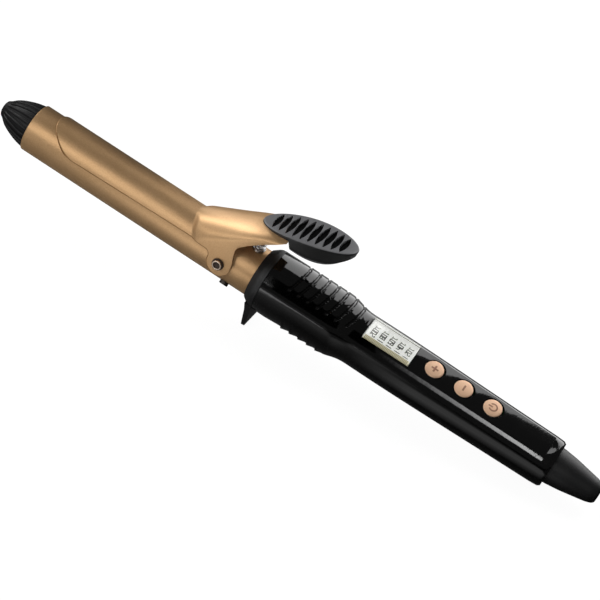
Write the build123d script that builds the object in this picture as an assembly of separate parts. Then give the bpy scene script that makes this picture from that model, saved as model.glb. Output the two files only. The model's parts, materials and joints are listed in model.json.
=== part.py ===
"""Curling iron: heated barrel, sprung hair clamp, grooved handle and turning cord inlet.

Pieces are drawn on the iron's own axis (X, tip at zero), then the whole iron is
tilted so that it rests on its stand foot and on the edge of its rear ring.
"""
import math
import os

from build123d import *

# Stations along the axis, from the front of the tip
TIP_END = 18.4
BARREL_START = 18.9
SPOON_FRONT = 29.6
LEVER_START = 111.8
PIVOT_X = 134.7
BARREL_SCREW_X = 140.2
SPRING_X = 146.5
COLLAR_START = 152.0
COLLAR_END = 158.4
SHELL_START = 158.5
SHELL_END = 315.0
RING_END = 320.6
BOOT_END = 346.3

# Heated part
BARREL_R = 12.5
BARREL_WALL = 0.8
TIP_FLUTES = 20
TIP_R = 11.7

# Clamp
SPOON_R = 13.5
SHEET = 0.7
PIVOT_Z = 1.8
EAR_Y = 14.2
EAR_R = 6.3
TONGUE_X = 159.5
PIVOT_R = 2.0
PIVOT_RUN = 0.05
THUMB_AT = (165.8, 0.0, 37.0)
THUMB_SLOPE = 14.5
THUMB_LEN = 49.4
THUMB_WIDTH = 24.6
THUMB_GROOVES = 10

# Clamp spring
WIRE_D = 0.9
COIL_R = 2.7
COIL_TURNS = 6
COIL_PITCH = 2.25

# Handle
COLLAR = ((COLLAR_START, 13.3), (155.0, 15.5), (156.0, 16.0), (COLLAR_END, 16.25))
SPLIT_Z = 3.5
SEAM = 0.04
GROOVES = 7
GROOVE_PITCH = 5.35
GROOVE_X = 173.4
GROOVE_LEAN = 23.6
GROOVE_SPAN = 53.0
RIBS = 6
RIB_PITCH = 4.87
RIB_X = 175.4
RIB_SINK = 0.62
FOOT_BOTTOM = (157.6, -26.0)
RING_EDGE = (319.3, -12.45)
SHELL_SCREW_X = (203.0, 298.0)

# Control panel, turned about the axis towards the user
PANEL_TURN = 18.0
PANEL_Z = 12.5
PANEL_SLOPE = -0.0155
BUTTON_X = (249.35, 265.9, 282.4)
BUTTON_R = 4.75
BUTTON_TRAVEL = 0.8
DISPLAY = (225.05, 25.8, 13.1)
BOARD_TOP = 3.8

# Cord inlet
CORD_R = 3.2
SWIVEL_R = 9.62
SWIVEL_RUN = 0.06

TILT = math.degrees(math.atan2(RING_EDGE[1] - FOOT_BOTTOM[1], RING_EDGE[0] - FOOT_BOTTOM[0]))


def turned(outline):
    """Turn a closed outline of (x, radius) points about the axis."""
    return revolve(make_face(Polyline(*outline, close=True)), Axis.X)


def rod(x0, x1, radius, y=0.0, z=0.0):
    """Round bar along the axis."""
    bar = Pos(x0, y, z) * Rot(0, 90, 0) * Cylinder(radius, x1 - x0, align=(Align.CENTER, Align.CENTER, Align.MIN))
    return bar


def tube(x0, x1, outer, inner):
    """Plain tube along the axis."""
    return turned([(x0, inner), (x0, outer), (x1, outer), (x1, inner)])


def block(x0, x1, y0, y1, z0, z1):
    """Rectangular block between two corners."""
    centre = Pos((x0 + x1) / 2, (y0 + y1) / 2, (z0 + z1) / 2)
    return centre * Box(x1 - x0, y1 - y0, z1 - z0)


def radial(x, angle, r0, r1, radius):
    """Round bar standing on the axis, angle measured from the top towards +Y."""
    bar = Cylinder(radius, r1 - r0, align=(Align.CENTER, Align.CENTER, Align.MIN))
    return Pos(x, 0, 0) * Rot(-angle, 0, 0) * Pos(0, 0, r0) * bar


def sideways(x, z, side, y0, y1, radius):
    """Round bar across the axis on the side given by the sign."""
    bar = Cylinder(radius, y1 - y0, align=(Align.CENTER, Align.CENTER, Align.MIN))
    return Pos(x, side * y0, z) * Rot(-90 * side, 0, 0) * bar


def side_prism(outline, half_width=40.0):
    """Prism across the axis from an outline of (x, z) points."""
    face = make_face(Polyline(*[(x, 0, z) for x, z in outline], close=True))
    return extrude(face, half_width, dir=(0, 1, 0), both=True)


def in_panel(shape):
    """Turn a piece drawn upright into the control panel's place."""
    return Rot(PANEL_TURN, 0, 0) * shape


def panel_z(x):
    """Height of the panel's flat over the axis at station x."""
    return PANEL_Z + PANEL_SLOPE * (x - BUTTON_X[0])


def make_tip():
    """Cool tip: bullet nose with flutes along it and a spigot for the barrel."""
    nose = [
        ThreePointArc((0, 0), (0.35, 2.4), (1.5, 4.4)),
        ThreePointArc((1.5, 4.4), (8.8, 9.1), (TIP_END, TIP_R)),
        Polyline((TIP_END, TIP_R), (TIP_END, 11.5), (24, 11.5), (24, 0), (0, 0)),
    ]
    tip = revolve(make_face(nose), Axis.X)
    path = ThreePointArc((3.2, 6.5), (9.4, 10.3), (19.6, 12.9))
    cutter = sweep(Plane(origin=path @ 0, z_dir=path % 0) * Circle(1.15), path=path)
    cutter = split(cutter, Plane(origin=(TIP_END - 0.4, 0, 0), z_dir=(-1, 0, 0)), keep=Keep.TOP)
    for index in range(TIP_FLUTES):
        tip -= Rot(360 / TIP_FLUTES * index, 0, 0) * cutter
    return tip - turned([(5.0, 0), (5.0, 3.2), (11.0, 6.9), (17.0, 8.8), (24.5, 9.6), (24.5, 0)])


def make_barrel():
    """Heated tube with a rolled front edge and holes for its screws."""
    inner = BARREL_R - BARREL_WALL
    barrel = turned([
        (BARREL_START, inner), (BARREL_START, BARREL_R - 0.7), (BARREL_START + 0.9, BARREL_R),
        (166, BARREL_R), (166, inner),
    ])
    for side in (-1, 1):
        barrel -= sideways(PIVOT_X, PIVOT_Z, side, 8, 16, 1.6)
        barrel -= radial(BARREL_SCREW_X, side * 140, 8, 16, 1.3)
    return barrel


def make_lead(y):
    """Wire from the heater plate to the board."""
    path = FilletPolyline((110.2, y, 0), (121, y, 0), (131, y, -3.4), (207.6, y, -3.4), radius=12)
    return sweep(Plane(origin=path @ 0, z_dir=path % 0) * Circle(0.9), path=path)


def make_heater():
    """Heater plate, its two spreaders, sensor, fuse and leads, inside the barrel."""
    skin = tube(36, 122, 11.6, 11.1)
    upper = skin & block(30, 130, -20, 20, 1.5, 20)
    upper += block(36, 122, -11.3, 11.3, 1.5, 2.0)
    return {
        "heat_spreader_upper": upper,
        "heat_spreader_lower": mirror(upper, Plane.XY),
        "ptc_heater": block(45, 110, -6, 6, -1.45, 1.45),
        "thermistor": rod(60, 66, 1.0, 8.0),
        "thermal_fuse": rod(85, 100, 1.3, -8.4),
        "heater_leads": Compound([make_lead(y) for y in (-5, 5)]),
        "tip_insulator": rod(24.1, 27.1, 11.6),
        "barrel_insulator": tube(153, 165, 13.5, BARREL_R + 0.05),
    }


def make_pivot():
    """Block inside the barrel, bushes, washers and screws that carry the clamp."""
    ring = tube(128, 146, 11.65, 7.5)
    bushes, washers, screws, pins = [], [], {}, []
    for side, name in ((-1, "left"), (1, "right")):
        ring -= sideways(PIVOT_X, PIVOT_Z, side, 6, 14, 1.55)
        ring -= radial(BARREL_SCREW_X, side * 140, 6, 14, 1.25)
        bush = sideways(PIVOT_X, PIVOT_Z, side, 11, 13.1, 3.2) - sideways(PIVOT_X, PIVOT_Z, side, 10, 14, 1.6)
        bushes.append(bush - rod(120, 150, BARREL_R + 0.02))
        washer = sideways(PIVOT_X, PIVOT_Z, side, 14.5, 14.9, 3.1)
        washers.append(washer - sideways(PIVOT_X, PIVOT_Z, side, 14, 15.4, PIVOT_R + 0.03))
        screw = sideways(PIVOT_X, PIVOT_Z, side, 8.6, 13.2, 1.5)
        screw += sideways(PIVOT_X, PIVOT_Z, side, 13.15, 15.0, PIVOT_R)
        screw += sideways(PIVOT_X, PIVOT_Z, side, 14.92, 16.2, 2.6)
        screw -= sideways(PIVOT_X, PIVOT_Z, side, 15.2, 17, 1.55)
        screws["pivot_screw_" + name] = screw
        pin = radial(BARREL_SCREW_X, side * 140, 9, 12.6, 1.2)
        head = radial(BARREL_SCREW_X, side * 140, 12.0, 14.1, 2.3) - rod(130, 150, BARREL_R + 0.02)
        pins.append(pin + head)
    seat = Pos(SPRING_X, 0, 11.5) * Cylinder(3.4, 1.8, align=(Align.CENTER, Align.CENTER, Align.MIN))
    return {
        "pivot_block": ring,
        "pivot_bushes": Compound(bushes),
        "pivot_washers": Compound(washers),
        "barrel_screws": Compound(pins),
        "spring_seat": seat - rod(130, 160, BARREL_R + 0.02),
        **screws,
    }


# Lever sections: station, spring line of the arch, half width and top of the arch
LEVER = (
    (LEVER_START, 0.0, 13.5, 13.5),
    (126.0, 10.0, 14.0, 20.3),
    (PIVOT_X, 16.2, EAR_Y, 24.5),
    (142.0, 21.6, 14.1, 28.0),
    (151.0, 26.4, 13.2, 31.3),
    (159.0, 29.4, 12.0, 33.3),
    (186.0, 36.4, 9.0, 39.6),
)


def lever_solid(inset=0.0):
    """Lofted lever body: upright sides under half ellipses, inset all round."""
    faces = []
    for x, line, half, top in LEVER:
        plane = Plane(origin=(x, 0, 0), x_dir=(0, 1, 0), z_dir=(1, 0, 0))
        wide, high = half - inset, top - line - inset
        arch = EllipticalCenterArc((0, line), wide, high, start_angle=0, arc_size=180)
        sides = Polyline((-wide, line), (-wide, line - 26), (wide, line - 26), (wide, line))
        faces.append(plane * make_face([arch, sides]))
    return loft(faces)


def make_clamp():
    """One stamping: spoon over the barrel, two pivot ears and the raised lever."""
    half = [(0.0, SPOON_FRONT), (3.3, 30.1), (6.0, 31.2), (9.2, 34.4), (11.5, 39.2), (12.6, 45.0), (13.1, 52.0)]
    nose = Spline(*[(x, -y) for y, x in reversed(half)], *[(x, y) for y, x in half[1:]])
    back = Polyline((52, 13.1), (60, 16), (LEVER_START + 0.3, 16), (LEVER_START + 0.3, -16), (60, -16), (52, -13.1))
    plan = extrude(make_face([nose, back]), 30)
    spoon = tube(28, LEVER_START + 0.3, SPOON_R, SPOON_R - SHEET) & plan
    spoon &= side_prism([(20, 3.9), (125, 5.7), (125, 30), (20, 30)])

    side = side_prism([
        (111, 5.4), (126.6, 5.8), (128.4, 4.2), (PIVOT_X - EAR_R, PIVOT_Z), (PIVOT_X + EAR_R, PIVOT_Z),
        (PIVOT_X + EAR_R, 9.5), (139.5, 13.8), (139.4, 15.4), (140.6, 17.3), (143.6, 20.1), (148.3, 23.8),
        (153.1, 27.1), (159.0, 30.9), (164, 33.0), (190, 38.4), (190, 60), (111, 60),
    ])
    side += Pos(PIVOT_X, 0, PIVOT_Z) * Rot(90, 0, 0) * Cylinder(EAR_R, 80)
    tongue = make_face(Polyline(
        (100, -20), (TONGUE_X, -20), (TONGUE_X, -7), (184, -7),
        (184, 7), (TONGUE_X, 7), (TONGUE_X, 20), (100, 20), close=True))
    lever = (lever_solid() - lever_solid(SHEET)) & side & Pos(0, 0, -20) * extrude(tongue, 80)
    clamp = spoon + lever
    clamp -= Pos(PIVOT_X, 0, PIVOT_Z) * Rot(90, 0, 0) * Cylinder(PIVOT_R + PIVOT_RUN, 80)
    clamp -= Pos(172, 0, 30) * Cylinder(1.6, 20)
    return clamp


def make_thumb_rest():
    """Oval pad moulded over the lever's tongue, with grooves across its face."""
    face = Plane(
        origin=THUMB_AT,
        x_dir=(math.cos(math.radians(THUMB_SLOPE)), 0, math.sin(math.radians(THUMB_SLOPE))),
        z_dir=(-math.sin(math.radians(THUMB_SLOPE)), 0, math.cos(math.radians(THUMB_SLOPE))),
    )
    oval = Pos(0, 0, -10) * extrude(Ellipse(THUMB_LEN / 2, THUMB_WIDTH / 2), 12)
    crown = Spline((-25, 0, -0.9), (0, 0, 0.7), (25, 0, -0.7))
    keel = Spline((25, 0, -4.6), (17, 0, -7.6), (6, 0, -8.4), (-6.2, 0, -6.4))
    ends = [
        Line((25, 0, -0.7), (25, 0, -4.6)), Line((-6.2, 0, -6.4), (-7.0, 0, -2.3)),
        Line((-7.0, 0, -2.3), (-25, 0, -2.3)), Line((-25, 0, -2.3), (-25, 0, -0.9)),
    ]
    profile = extrude(make_face([crown, keel, *ends]), 30, dir=(0, 1, 0), both=True)
    pad = oval & profile
    pitch = 3.9
    for index in range(THUMB_GROOVES):
        along = (index - (THUMB_GROOVES - 1) / 2) * pitch
        reach = 0.82 * THUMB_WIDTH / 2 * math.sqrt(1 - (2 * along / THUMB_LEN) ** 2)
        lens = make_face([
            ThreePointArc((0, -reach), (1.6, 0), (0, reach)),
            ThreePointArc((0, reach), (-1.6, 0), (0, -reach)),
        ])
        depth = 0.0 if abs(along) > 15 else 0.4
        pad -= Pos(along, 0, depth - 1.2) * extrude(lens, 3)
    pad = face * pad
    under = lever_solid(-0.05)
    pad -= under & block(130, TONGUE_X + 0.1, -30, 30, -10, 60)
    pad -= under & block(TONGUE_X, 184.1, -7.1, 7.1, -10, 60)
    pad -= Pos(172, 0, 35) * Cylinder(1.15, 4.6)
    return pad


def make_thumb_screw():
    """Screw from under the lever into the pad."""
    head = Pos(172, 0, 33.6) * Cylinder(2.6, 1.6)
    return head + Pos(172, 0, 35) * Cylinder(1.1, 4.4)


def arc_chain(points, tangents):
    """Join points by pairs of arcs that share their tangents."""
    edges = []
    for p0, p1, t0, t1 in zip(points, points[1:], tangents, tangents[1:]):
        gap, both = p0 - p1, t0 + t1
        a, b, c = 4 - both.dot(both), -2 * gap.dot(both), -gap.dot(gap)
        reach = (-b + math.sqrt(b * b - 4 * a * c)) / (2 * a)
        start, end = p0 + t0 * reach, p1 - t1 * reach
        middle = (start + end) * 0.5
        edges.append(Edge.make_tangent_arc(p0, t0, middle))
        edges.append(Edge.make_tangent_arc(middle, (end - start).normalized(), p1))
    return Wire(edges)


def make_spring():
    """Clamp spring: one wire in quarter turns round an upright line."""
    rise = COIL_PITCH / 4
    slope = Vector(0, 0, COIL_PITCH / (2 * math.pi * COIL_R))
    points, tangents = [], []
    for quarter in range(4 * COIL_TURNS + 1):
        turn = math.pi / 2 * quarter
        points.append(Vector(COIL_R * math.cos(turn), COIL_R * math.sin(turn), rise * quarter + WIRE_D / 2))
        tangents.append((Vector(-math.sin(turn), math.cos(turn), 0) + slope).normalized())
    path = arc_chain(points, tangents)
    marks = [path @ (step / 600) for step in range(601)]
    per_turn = 600 / COIL_TURNS
    gap = min((marks[i] - marks[j]).length for i in range(601) for j in range(i) if i - j > per_turn / 2) - WIRE_D
    print("clamp spring least gap to itself, mm:", round(gap, 3))
    return sweep(Plane(origin=points[0], z_dir=tangents[0]) * Circle(WIRE_D / 2), path=path)


def make_collar():
    """Front collar between the barrel and the handle."""
    bore = BARREL_R + 0.1
    return turned([(COLLAR_START, bore), *COLLAR, (COLLAR_END, 13.6), (152.9, 13.6), (152.9, bore)])


def make_foot():
    """Stand foot: a plate that saddles the collar from below, cut level with the table."""
    plate = make_face(Polyline((0, -13.0, -9.8), (0, -7, -28), (0, 7, -28), (0, 13.0, -9.8), close=True))
    foot = Pos(150, 0, 0) * extrude(plate, 12, dir=(1, 0, 0))
    foot &= side_prism([(154.0, -8), (155.4, -14.5), (156.7, -28), (COLLAR_END, -28), (COLLAR_END, -8)])
    saddle = [(x, radius + 0.03) for x, radius in COLLAR]
    foot -= turned([(COLLAR_START, 0), *saddle, (160, saddle[-1][1]), (160, 0)])
    table = Pos(FOOT_BOTTOM[0], 0, FOOT_BOTTOM[1]) * Rot(0, -TILT, 0) * Pos(0, 0, -10) * Box(60, 60, 20)
    return foot - table


def handle_outline():
    """Outside of the handle as (x, radius) points."""
    return [
        (SHELL_START, 16.2), (173, 16.35), (193, 16.3), (199.5, 15.85), (203.5, 14.75), (207.5, 13.95),
        (213, 13.78), (246, 13.72), (280, 13.2), (SHELL_END, 12.7),
    ]


def grooves():
    """Leaning grooves cut into the top of the grip."""
    edge = math.radians(GROOVE_SPAN)
    fan = make_face(Polyline(
        (0, 0, 0), (0, -30 * math.sin(edge), 30 * math.cos(edge)), (0, 0, 30),
        (0, 30 * math.sin(edge), 30 * math.cos(edge)), close=True))
    sector = Pos(160, 0, 0) * extrude(fan, 50, dir=(1, 0, 0))
    ring = turned([(160, 15.6), (160, 20), (215, 20), (215, 13.3), (208, 13.3), (200, 15.1), (196, 15.55)])
    room = ring & sector
    cuts = []
    for index in range(GROOVES):
        slab = Rot(0, GROOVE_LEAN, 0) * Box(1.3, 60, 30)
        cuts.append(Pos(GROOVE_X + GROOVE_PITCH * index, 0, 16.3) * slab & room)
    return cuts


def disc(x, z, r):
    """Round face across the iron."""
    return Pos(x, 0, z) * Rot(0, 90, 0) * Circle(r)


def ribbed(lower):
    """Sink the grip's underside a little and set saw-toothed ribs across it."""
    end = RIB_X + RIBS * RIB_PITCH
    flush = RIB_X - 1.0
    sunk = loft([disc(158, 0, 16.7), disc(flush, RIB_SINK, 16.35)])
    sunk += loft([disc(flush, RIB_SINK, 16.35), disc(end, RIB_SINK, 16.35)])
    made = (lower & sunk) + (lower - block(150, end, -30, 30, -30, 30))
    inside = turned([(150, 0), (150, 13.7), (196, 13.7), (207, 11.8), (230, 11.8), (230, 0)])
    for index in range(RIBS):
        front = RIB_X + RIB_PITCH * index
        short = 1.1 if index == RIBS - 1 else 0.0
        tooth = loft([disc(front, -0.9, 15.95 - short), disc(front + RIB_PITCH, -0.9, 14.85 - short)])
        made += (tooth - inside) & block(front - 1, front + 6, -30, 30, -30, -3)
    return made


def panel_cut():
    """Flat along the top of the handle, with a round rear end."""
    plan = Pos(260, 0) * Rectangle(106, 14) + Pos(313, 0) * Circle(5.3)
    slab = Pos(0, 0, panel_z(0)) * extrude(plan, 12)
    return in_panel(Pos(0, 0, panel_z(0)) * Rot(0, math.degrees(math.atan(-PANEL_SLOPE)), 0)
                    * Pos(0, 0, -panel_z(0)) * slab)


def make_shells():
    """Upper and lower handle shells with their bosses, openings and grooves."""
    outline = handle_outline()
    outer = revolve(make_face([
        Spline(*outline), Polyline(outline[-1], (SHELL_END, 0), (SHELL_START, 0), outline[0])]), Axis.X)
    cavity = turned([
        (150, 0), (150, 13.6), (196, 13.6), (207, 11.7), (246, 11.6), (SHELL_END, 10.6), (330, 10.6), (330, 0)])
    shell = outer - cavity
    upper = split(shell, Plane.XY.offset(SPLIT_Z + SEAM / 2), keep=Keep.TOP)
    lower = ribbed(split(shell, Plane.XY.offset(SPLIT_Z - SEAM / 2), keep=Keep.BOTTOM))
    for x in SHELL_SCREW_X:
        post = Pos(x, 0, 0) * Cylinder(3.0, 60)
        upper += post & outer & block(x - 4, x + 4, -4, 4, SPLIT_Z + SEAM / 2, 12.2)
        lower += post & outer & block(x - 4, x + 4, -4, 4, -20, SPLIT_Z - SEAM / 2)
        upper -= Pos(x, 0, 0) * Cylinder(1.25, 20)
        lower -= Pos(x, 0, 0) * Cylinder(1.4, 60)
        lower -= Pos(x, 0, -20) * Cylinder(2.9, 20)
    upper -= panel_cut()
    x, length, width = DISPLAY
    upper -= in_panel(block(x - length / 2 - 0.3, x + length / 2 + 0.3, -width / 2 - 0.3, width / 2 + 0.3, 5, 20))
    for x in BUTTON_X:
        upper -= in_panel(Pos(x, 0, 10) * Cylinder(BUTTON_R + 0.3, 12))
    for cut in grooves():
        upper -= cut
    screws = [Pos(x, 0, -10.85) * Cylinder(2.6, 1.5) + Pos(x, 0, -1) * Cylinder(1.2, 19.4) for x in SHELL_SCREW_X]
    return {"handle_upper_shell": upper, "handle_lower_shell": lower, "shell_screws": Compound(screws)}


def make_button(x):
    """Round key with a domed top and a flange that keeps it in the panel."""
    top = panel_z(x) + 0.35
    key = Pos(x, 0, top - 3.6) * Cylinder(BUTTON_R, 3.6, align=(Align.CENTER, Align.CENTER, Align.MIN))
    dome = Pos(x, 0, top + 0.35 - 30) * Sphere(30)
    key &= dome
    key += Pos(x, 0, panel_z(x) - 4.1) * Cylinder(5.7, 0.9, align=(Align.CENTER, Align.CENTER, Align.MIN))
    return in_panel(key)


def make_controls():
    """Display, board and what the board carries, all under the panel."""
    x, length, width = DISPLAY
    pieces = {
        "display_window": block(x - length / 2, x + length / 2, -width / 2, width / 2, 10.65, 13.25),
        "lcd_panel": block(x - 12.7, x + 12.7, -6.4, 6.4, 9.3, 10.6),
        "lcd_frame": block(x - 13, x + 13, -6.1, 6.1, BOARD_TOP, 9.25) - block(x - 11.5, x + 11.5, -4.8, 4.8, 0, 12),
        "main_board": block(208, 290, -8, 8, BOARD_TOP - 1.6, BOARD_TOP),
        "triac": block(214, 224, -5, 5, -6.5, BOARD_TOP - 1.65),
        "capacitor": rod(236, 254, 4.4, 0, -2.4),
    }
    switches = []
    for key in BUTTON_X:
        tall = panel_z(key) - 4.1 - BUTTON_TRAVEL - 0.35
        switch = block(key - 3, key + 3, -3, 3, BOARD_TOP, tall - 0.6)
        switches.append(switch + Pos(key, 0, tall - 0.5) * Cylinder(1.6, 1.0))
    pieces["tact_switches"] = Compound(switches)
    return {name: in_panel(shape) for name, shape in pieces.items()}


def make_rear():
    """Rear ring, swivel parts and the turning boot for the cord."""
    ring = turned([
        (SHELL_END + 0.05, 11.3), (SHELL_END + 0.05, 12.7), (319.3, 12.45), (RING_END, 11.6),
        (RING_END, SWIVEL_R + SWIVEL_RUN), (317.6, SWIVEL_R + SWIVEL_RUN), (317.6, 11.3),
    ])
    ring -= panel_cut()
    boot = turned([
        (315.4, CORD_R), (315.4, 10.9), (317.2, 10.9), (317.2, SWIVEL_R), (321.2, SWIVEL_R), (329.0, 8.75),
        (337.0, 7.3), (342.6, 6.3), (345.3, 5.3), (BOOT_END, 4.2), (BOOT_END, CORD_R),
    ])
    plate = rod(311.5, 314.8, 10.4) - rod(311, 315, 3.6)
    rings = Compound([tube(309, 311.45, 9.0, 7.6), tube(309, 311.45, 6.2, 4.8)])
    holder = rod(303, 308.6, 9.6) - rod(302, 309, 2.6)
    return {
        "end_ring": ring,
        "swivel_boot": boot,
        "swivel_retainer": plate,
        "slip_rings": rings,
        "brush_holder": holder,
    }


def main():
    """Build every piece, set the iron on its foot and ring, and write one file a node."""
    nodes = {"cool_tip": make_tip(), "barrel": make_barrel()}
    nodes.update(make_heater())
    nodes.update(make_pivot())
    nodes.update({"clamp": make_clamp(), "thumb_rest": make_thumb_rest(), "thumb_rest_screw": make_thumb_screw()})
    nodes.update({"front_collar": make_collar(), "stand_foot": make_foot()})
    nodes.update(make_shells())
    nodes.update(make_controls())
    for name, x in zip(("button_plus", "button_minus", "button_power"), BUTTON_X):
        nodes[name] = make_button(x)
    nodes.update(make_rear())

    lean = Rot(0, TILT, 0)
    boxes = [(lean * shape).bounding_box() for shape in nodes.values()]
    low = [min(getattr(box.min, axis) for box in boxes) for axis in "XYZ"]
    high = [max(getattr(box.max, axis) for box in boxes) for axis in "XYZ"]
    home = Pos(-(low[0] + high[0]) / 2, -(low[1] + high[1]) / 2, -low[2]) * lean
    print("tilt, deg:", round(TILT, 4), "shift:", [round(v, 4) for v in tuple(home.position)])

    os.makedirs("parts", exist_ok=True)
    base = (home * Pos(SPRING_X, 0, 13.35)).position
    nodes["clamp_spring"] = Pos(*tuple(base)) * make_spring()
    for name, shape in nodes.items():
        export_step(shape if name == "clamp_spring" else home * shape, f"parts/{name}.step")
        print(name, "volume, mm3:", round(shape.volume, 1), "solids:", len(shape.solids()))


main()
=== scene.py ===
"""Curling iron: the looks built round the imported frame.

Pieces are drawn in millimetres on the iron's own axis (X, tip at zero) and then
set in place, tilted so that the iron rests on its stand foot and its rear ring.
"""

import json
import logging
import math
from dataclasses import dataclass, field, replace
from enum import Enum
from typing import ClassVar

import bmesh
import bpy
import numpy as np
from mathutils import Matrix, Vector


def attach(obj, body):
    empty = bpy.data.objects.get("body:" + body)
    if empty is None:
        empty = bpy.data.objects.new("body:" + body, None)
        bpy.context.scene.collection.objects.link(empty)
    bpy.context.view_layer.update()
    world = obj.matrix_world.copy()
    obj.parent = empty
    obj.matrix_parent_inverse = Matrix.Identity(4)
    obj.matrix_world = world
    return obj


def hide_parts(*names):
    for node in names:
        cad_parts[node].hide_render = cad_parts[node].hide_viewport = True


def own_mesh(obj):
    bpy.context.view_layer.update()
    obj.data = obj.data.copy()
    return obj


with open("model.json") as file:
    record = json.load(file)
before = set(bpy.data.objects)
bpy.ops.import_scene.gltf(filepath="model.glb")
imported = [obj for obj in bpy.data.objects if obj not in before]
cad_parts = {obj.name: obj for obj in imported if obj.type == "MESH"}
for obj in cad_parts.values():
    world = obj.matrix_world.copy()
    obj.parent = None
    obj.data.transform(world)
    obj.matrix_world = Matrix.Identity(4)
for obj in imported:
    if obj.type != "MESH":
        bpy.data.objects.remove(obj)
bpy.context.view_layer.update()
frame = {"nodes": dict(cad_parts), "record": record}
LOG = logging.getLogger("curling_iron")

MM = 0.001
# Points closer than this, in metres, are one
SEAM = 2e-6
# Where the foot and the rear ring meet the table, as (station, height) on the iron's axis
FOOT_AT = (157.6, -26.0)
RING_AT = (319.3, -12.45)
TILT = math.atan2(RING_AT[1] - FOOT_AT[1], RING_AT[0] - FOOT_AT[0])
# Front of the tip in the frame, in metres
TIP_AT = (-0.1726931, 0.0, 0.0390695)
HOME = Matrix.Translation(TIP_AT) @ Matrix.Rotation(TILT, 4, "Y") @ Matrix.Scale(MM, 4)
# The key panel is turned to the near side, and its face falls a little towards the rear
PANEL_TURN = math.radians(18.0)
PANEL = HOME @ Matrix.Rotation(PANEL_TURN, 4, "X")
PANEL_TOP = 12.5
PANEL_FALL = 0.0155
KEYS = {"plus": 249.35, "minus": 265.9, "power": 282.4}
# Display window as station of its middle, length and width
WINDOW = (225.05, 25.8, 13.1)


def linear(code: str) -> tuple[float, float, float, float]:
    """Turn an sRGB hex colour to linear light.

    Args:
        code: six hex digits with a leading hash.

    Returns:
        Red, green, blue and a full alpha.
    """
    parts = [int(code[i:i + 2], 16) / 255 for i in (1, 3, 5)]
    light = [p / 12.92 if p <= 0.04045 else ((p + 0.055) / 1.055) ** 2.4 for p in parts]
    return light[0], light[1], light[2], 1.0


def add(
    tree: bpy.types.NodeTree, kind: str, settings: dict | None = None, inputs: dict | None = None
) -> bpy.types.Node:
    """Add one node with its settings, socket values and links.

    Args:
        tree: the node tree to add to.
        kind: the node's type name.
        settings: attributes of the node.
        inputs: socket name or number to a value, or to an output socket to link.

    Returns:
        The new node.
    """
    node = tree.nodes.new(kind)
    for key, value in (settings or {}).items():
        setattr(node, key, value)
    for key, value in (inputs or {}).items():
        if isinstance(value, bpy.types.NodeSocket):
            tree.links.new(value, node.inputs[key])
        else:
            node.inputs[key].default_value = value
    return node


def empty_tree(owner: bpy.types.Material | bpy.types.World | bpy.types.Light) -> bpy.types.NodeTree:
    """Turn on the nodes of a material, a world or a lamp.

    Args:
        owner: what the nodes belong to.

    Returns:
        Its node tree, with nothing in it.
    """
    owner.use_nodes = True
    owner.node_tree.nodes.clear()
    return owner.node_tree


def placed(name: str, data: bpy.types.ID) -> bpy.types.Object:
    """Make an object and link it to the scene.

    Args:
        name: the object's name.
        data: its mesh, lamp or camera.

    Returns:
        The new object.
    """
    made = bpy.data.objects.new(name, data)
    bpy.context.scene.collection.objects.link(made)
    return made


class Grain(Enum):
    """How a surface was made, which sets the way its grain runs."""

    EVEN = (1.0, 1.0, 1.0)
    DRAWN = (0.06, 1.0, 1.0)
    TURNED = (1.0, 0.12, 0.12)


@dataclass(frozen=True)
class Finish:
    """One real surface: colour, gloss and a grain of a real size.

    The grain shifts the colour between two tones, varies the roughness a little and
    raises the surface by a hair, as spray, mould texture or drawing marks do.
    """

    name: str
    colour: str
    tone: str
    roughness: float
    grain_mm: float
    grain: Grain = Grain.EVEN
    metallic: float = 0.0
    spread: float = 0.05
    lift: float = 0.05
    ior: float = 1.5
    glow: float = 0.0
    clear: float = 0.0
    broad_mm: float = 18.0

    def material(self) -> bpy.types.Material:
        """Make the material the first time that it is asked for.

        Returns:
            The one material of this name.
        """
        known = bpy.data.materials.get(self.name)
        if known is not None:
            return known
        made = bpy.data.materials.new(self.name)
        tree = empty_tree(made)
        place = add(tree, "ShaderNodeTexCoord")
        turn = add(tree, "ShaderNodeMapping", {}, {
            "Vector": place.outputs["Object"], "Scale": self.grain.value})
        fine = add(tree, "ShaderNodeTexNoise", {}, {
            "Vector": turn.outputs[0], "Scale": 1.0 / (self.grain_mm * MM), "Detail": 3.0, "Roughness": 0.6})
        broad = add(tree, "ShaderNodeTexNoise", {}, {
            "Vector": place.outputs["Object"], "Scale": 1.0 / (self.broad_mm * MM), "Detail": 2.0})
        blend = add(tree, "ShaderNodeMath", {"operation": "MULTIPLY_ADD"}, {
            0: broad.outputs[0], 1: 0.35, 2: fine.outputs[0]})
        range_ = add(tree, "ShaderNodeMapRange", {}, {0: blend.outputs[0], 1: 0.45, 2: 0.95, 3: 0.0, 4: 1.0})
        tint = add(tree, "ShaderNodeMix", {"data_type": "RGBA"}, {
            0: range_.outputs[0], 6: linear(self.colour), 7: linear(self.tone)})
        rough = add(tree, "ShaderNodeMapRange", {}, {
            0: blend.outputs[0], 1: 0.4, 2: 1.0,
            3: max(0.02, self.roughness - self.spread), 4: self.roughness + self.spread})
        bump = add(tree, "ShaderNodeBump", {}, {
            "Strength": self.lift, "Distance": self.grain_mm * MM * 0.3, "Height": fine.outputs[0]})
        shader = add(tree, "ShaderNodeBsdfPrincipled", {}, {
            "Base Color": tint.outputs[2], "Roughness": rough.outputs[0], "Normal": bump.outputs[0],
            "Metallic": self.metallic, "IOR": self.ior, "Transmission Weight": self.clear})
        if self.glow:
            shader.inputs["Emission Strength"].default_value = self.glow
            shader.inputs["Emission Color"].default_value = linear(self.colour)
        add(tree, "ShaderNodeOutputMaterial", {}, {"Surface": shader.outputs[0]})
        return made


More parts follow.
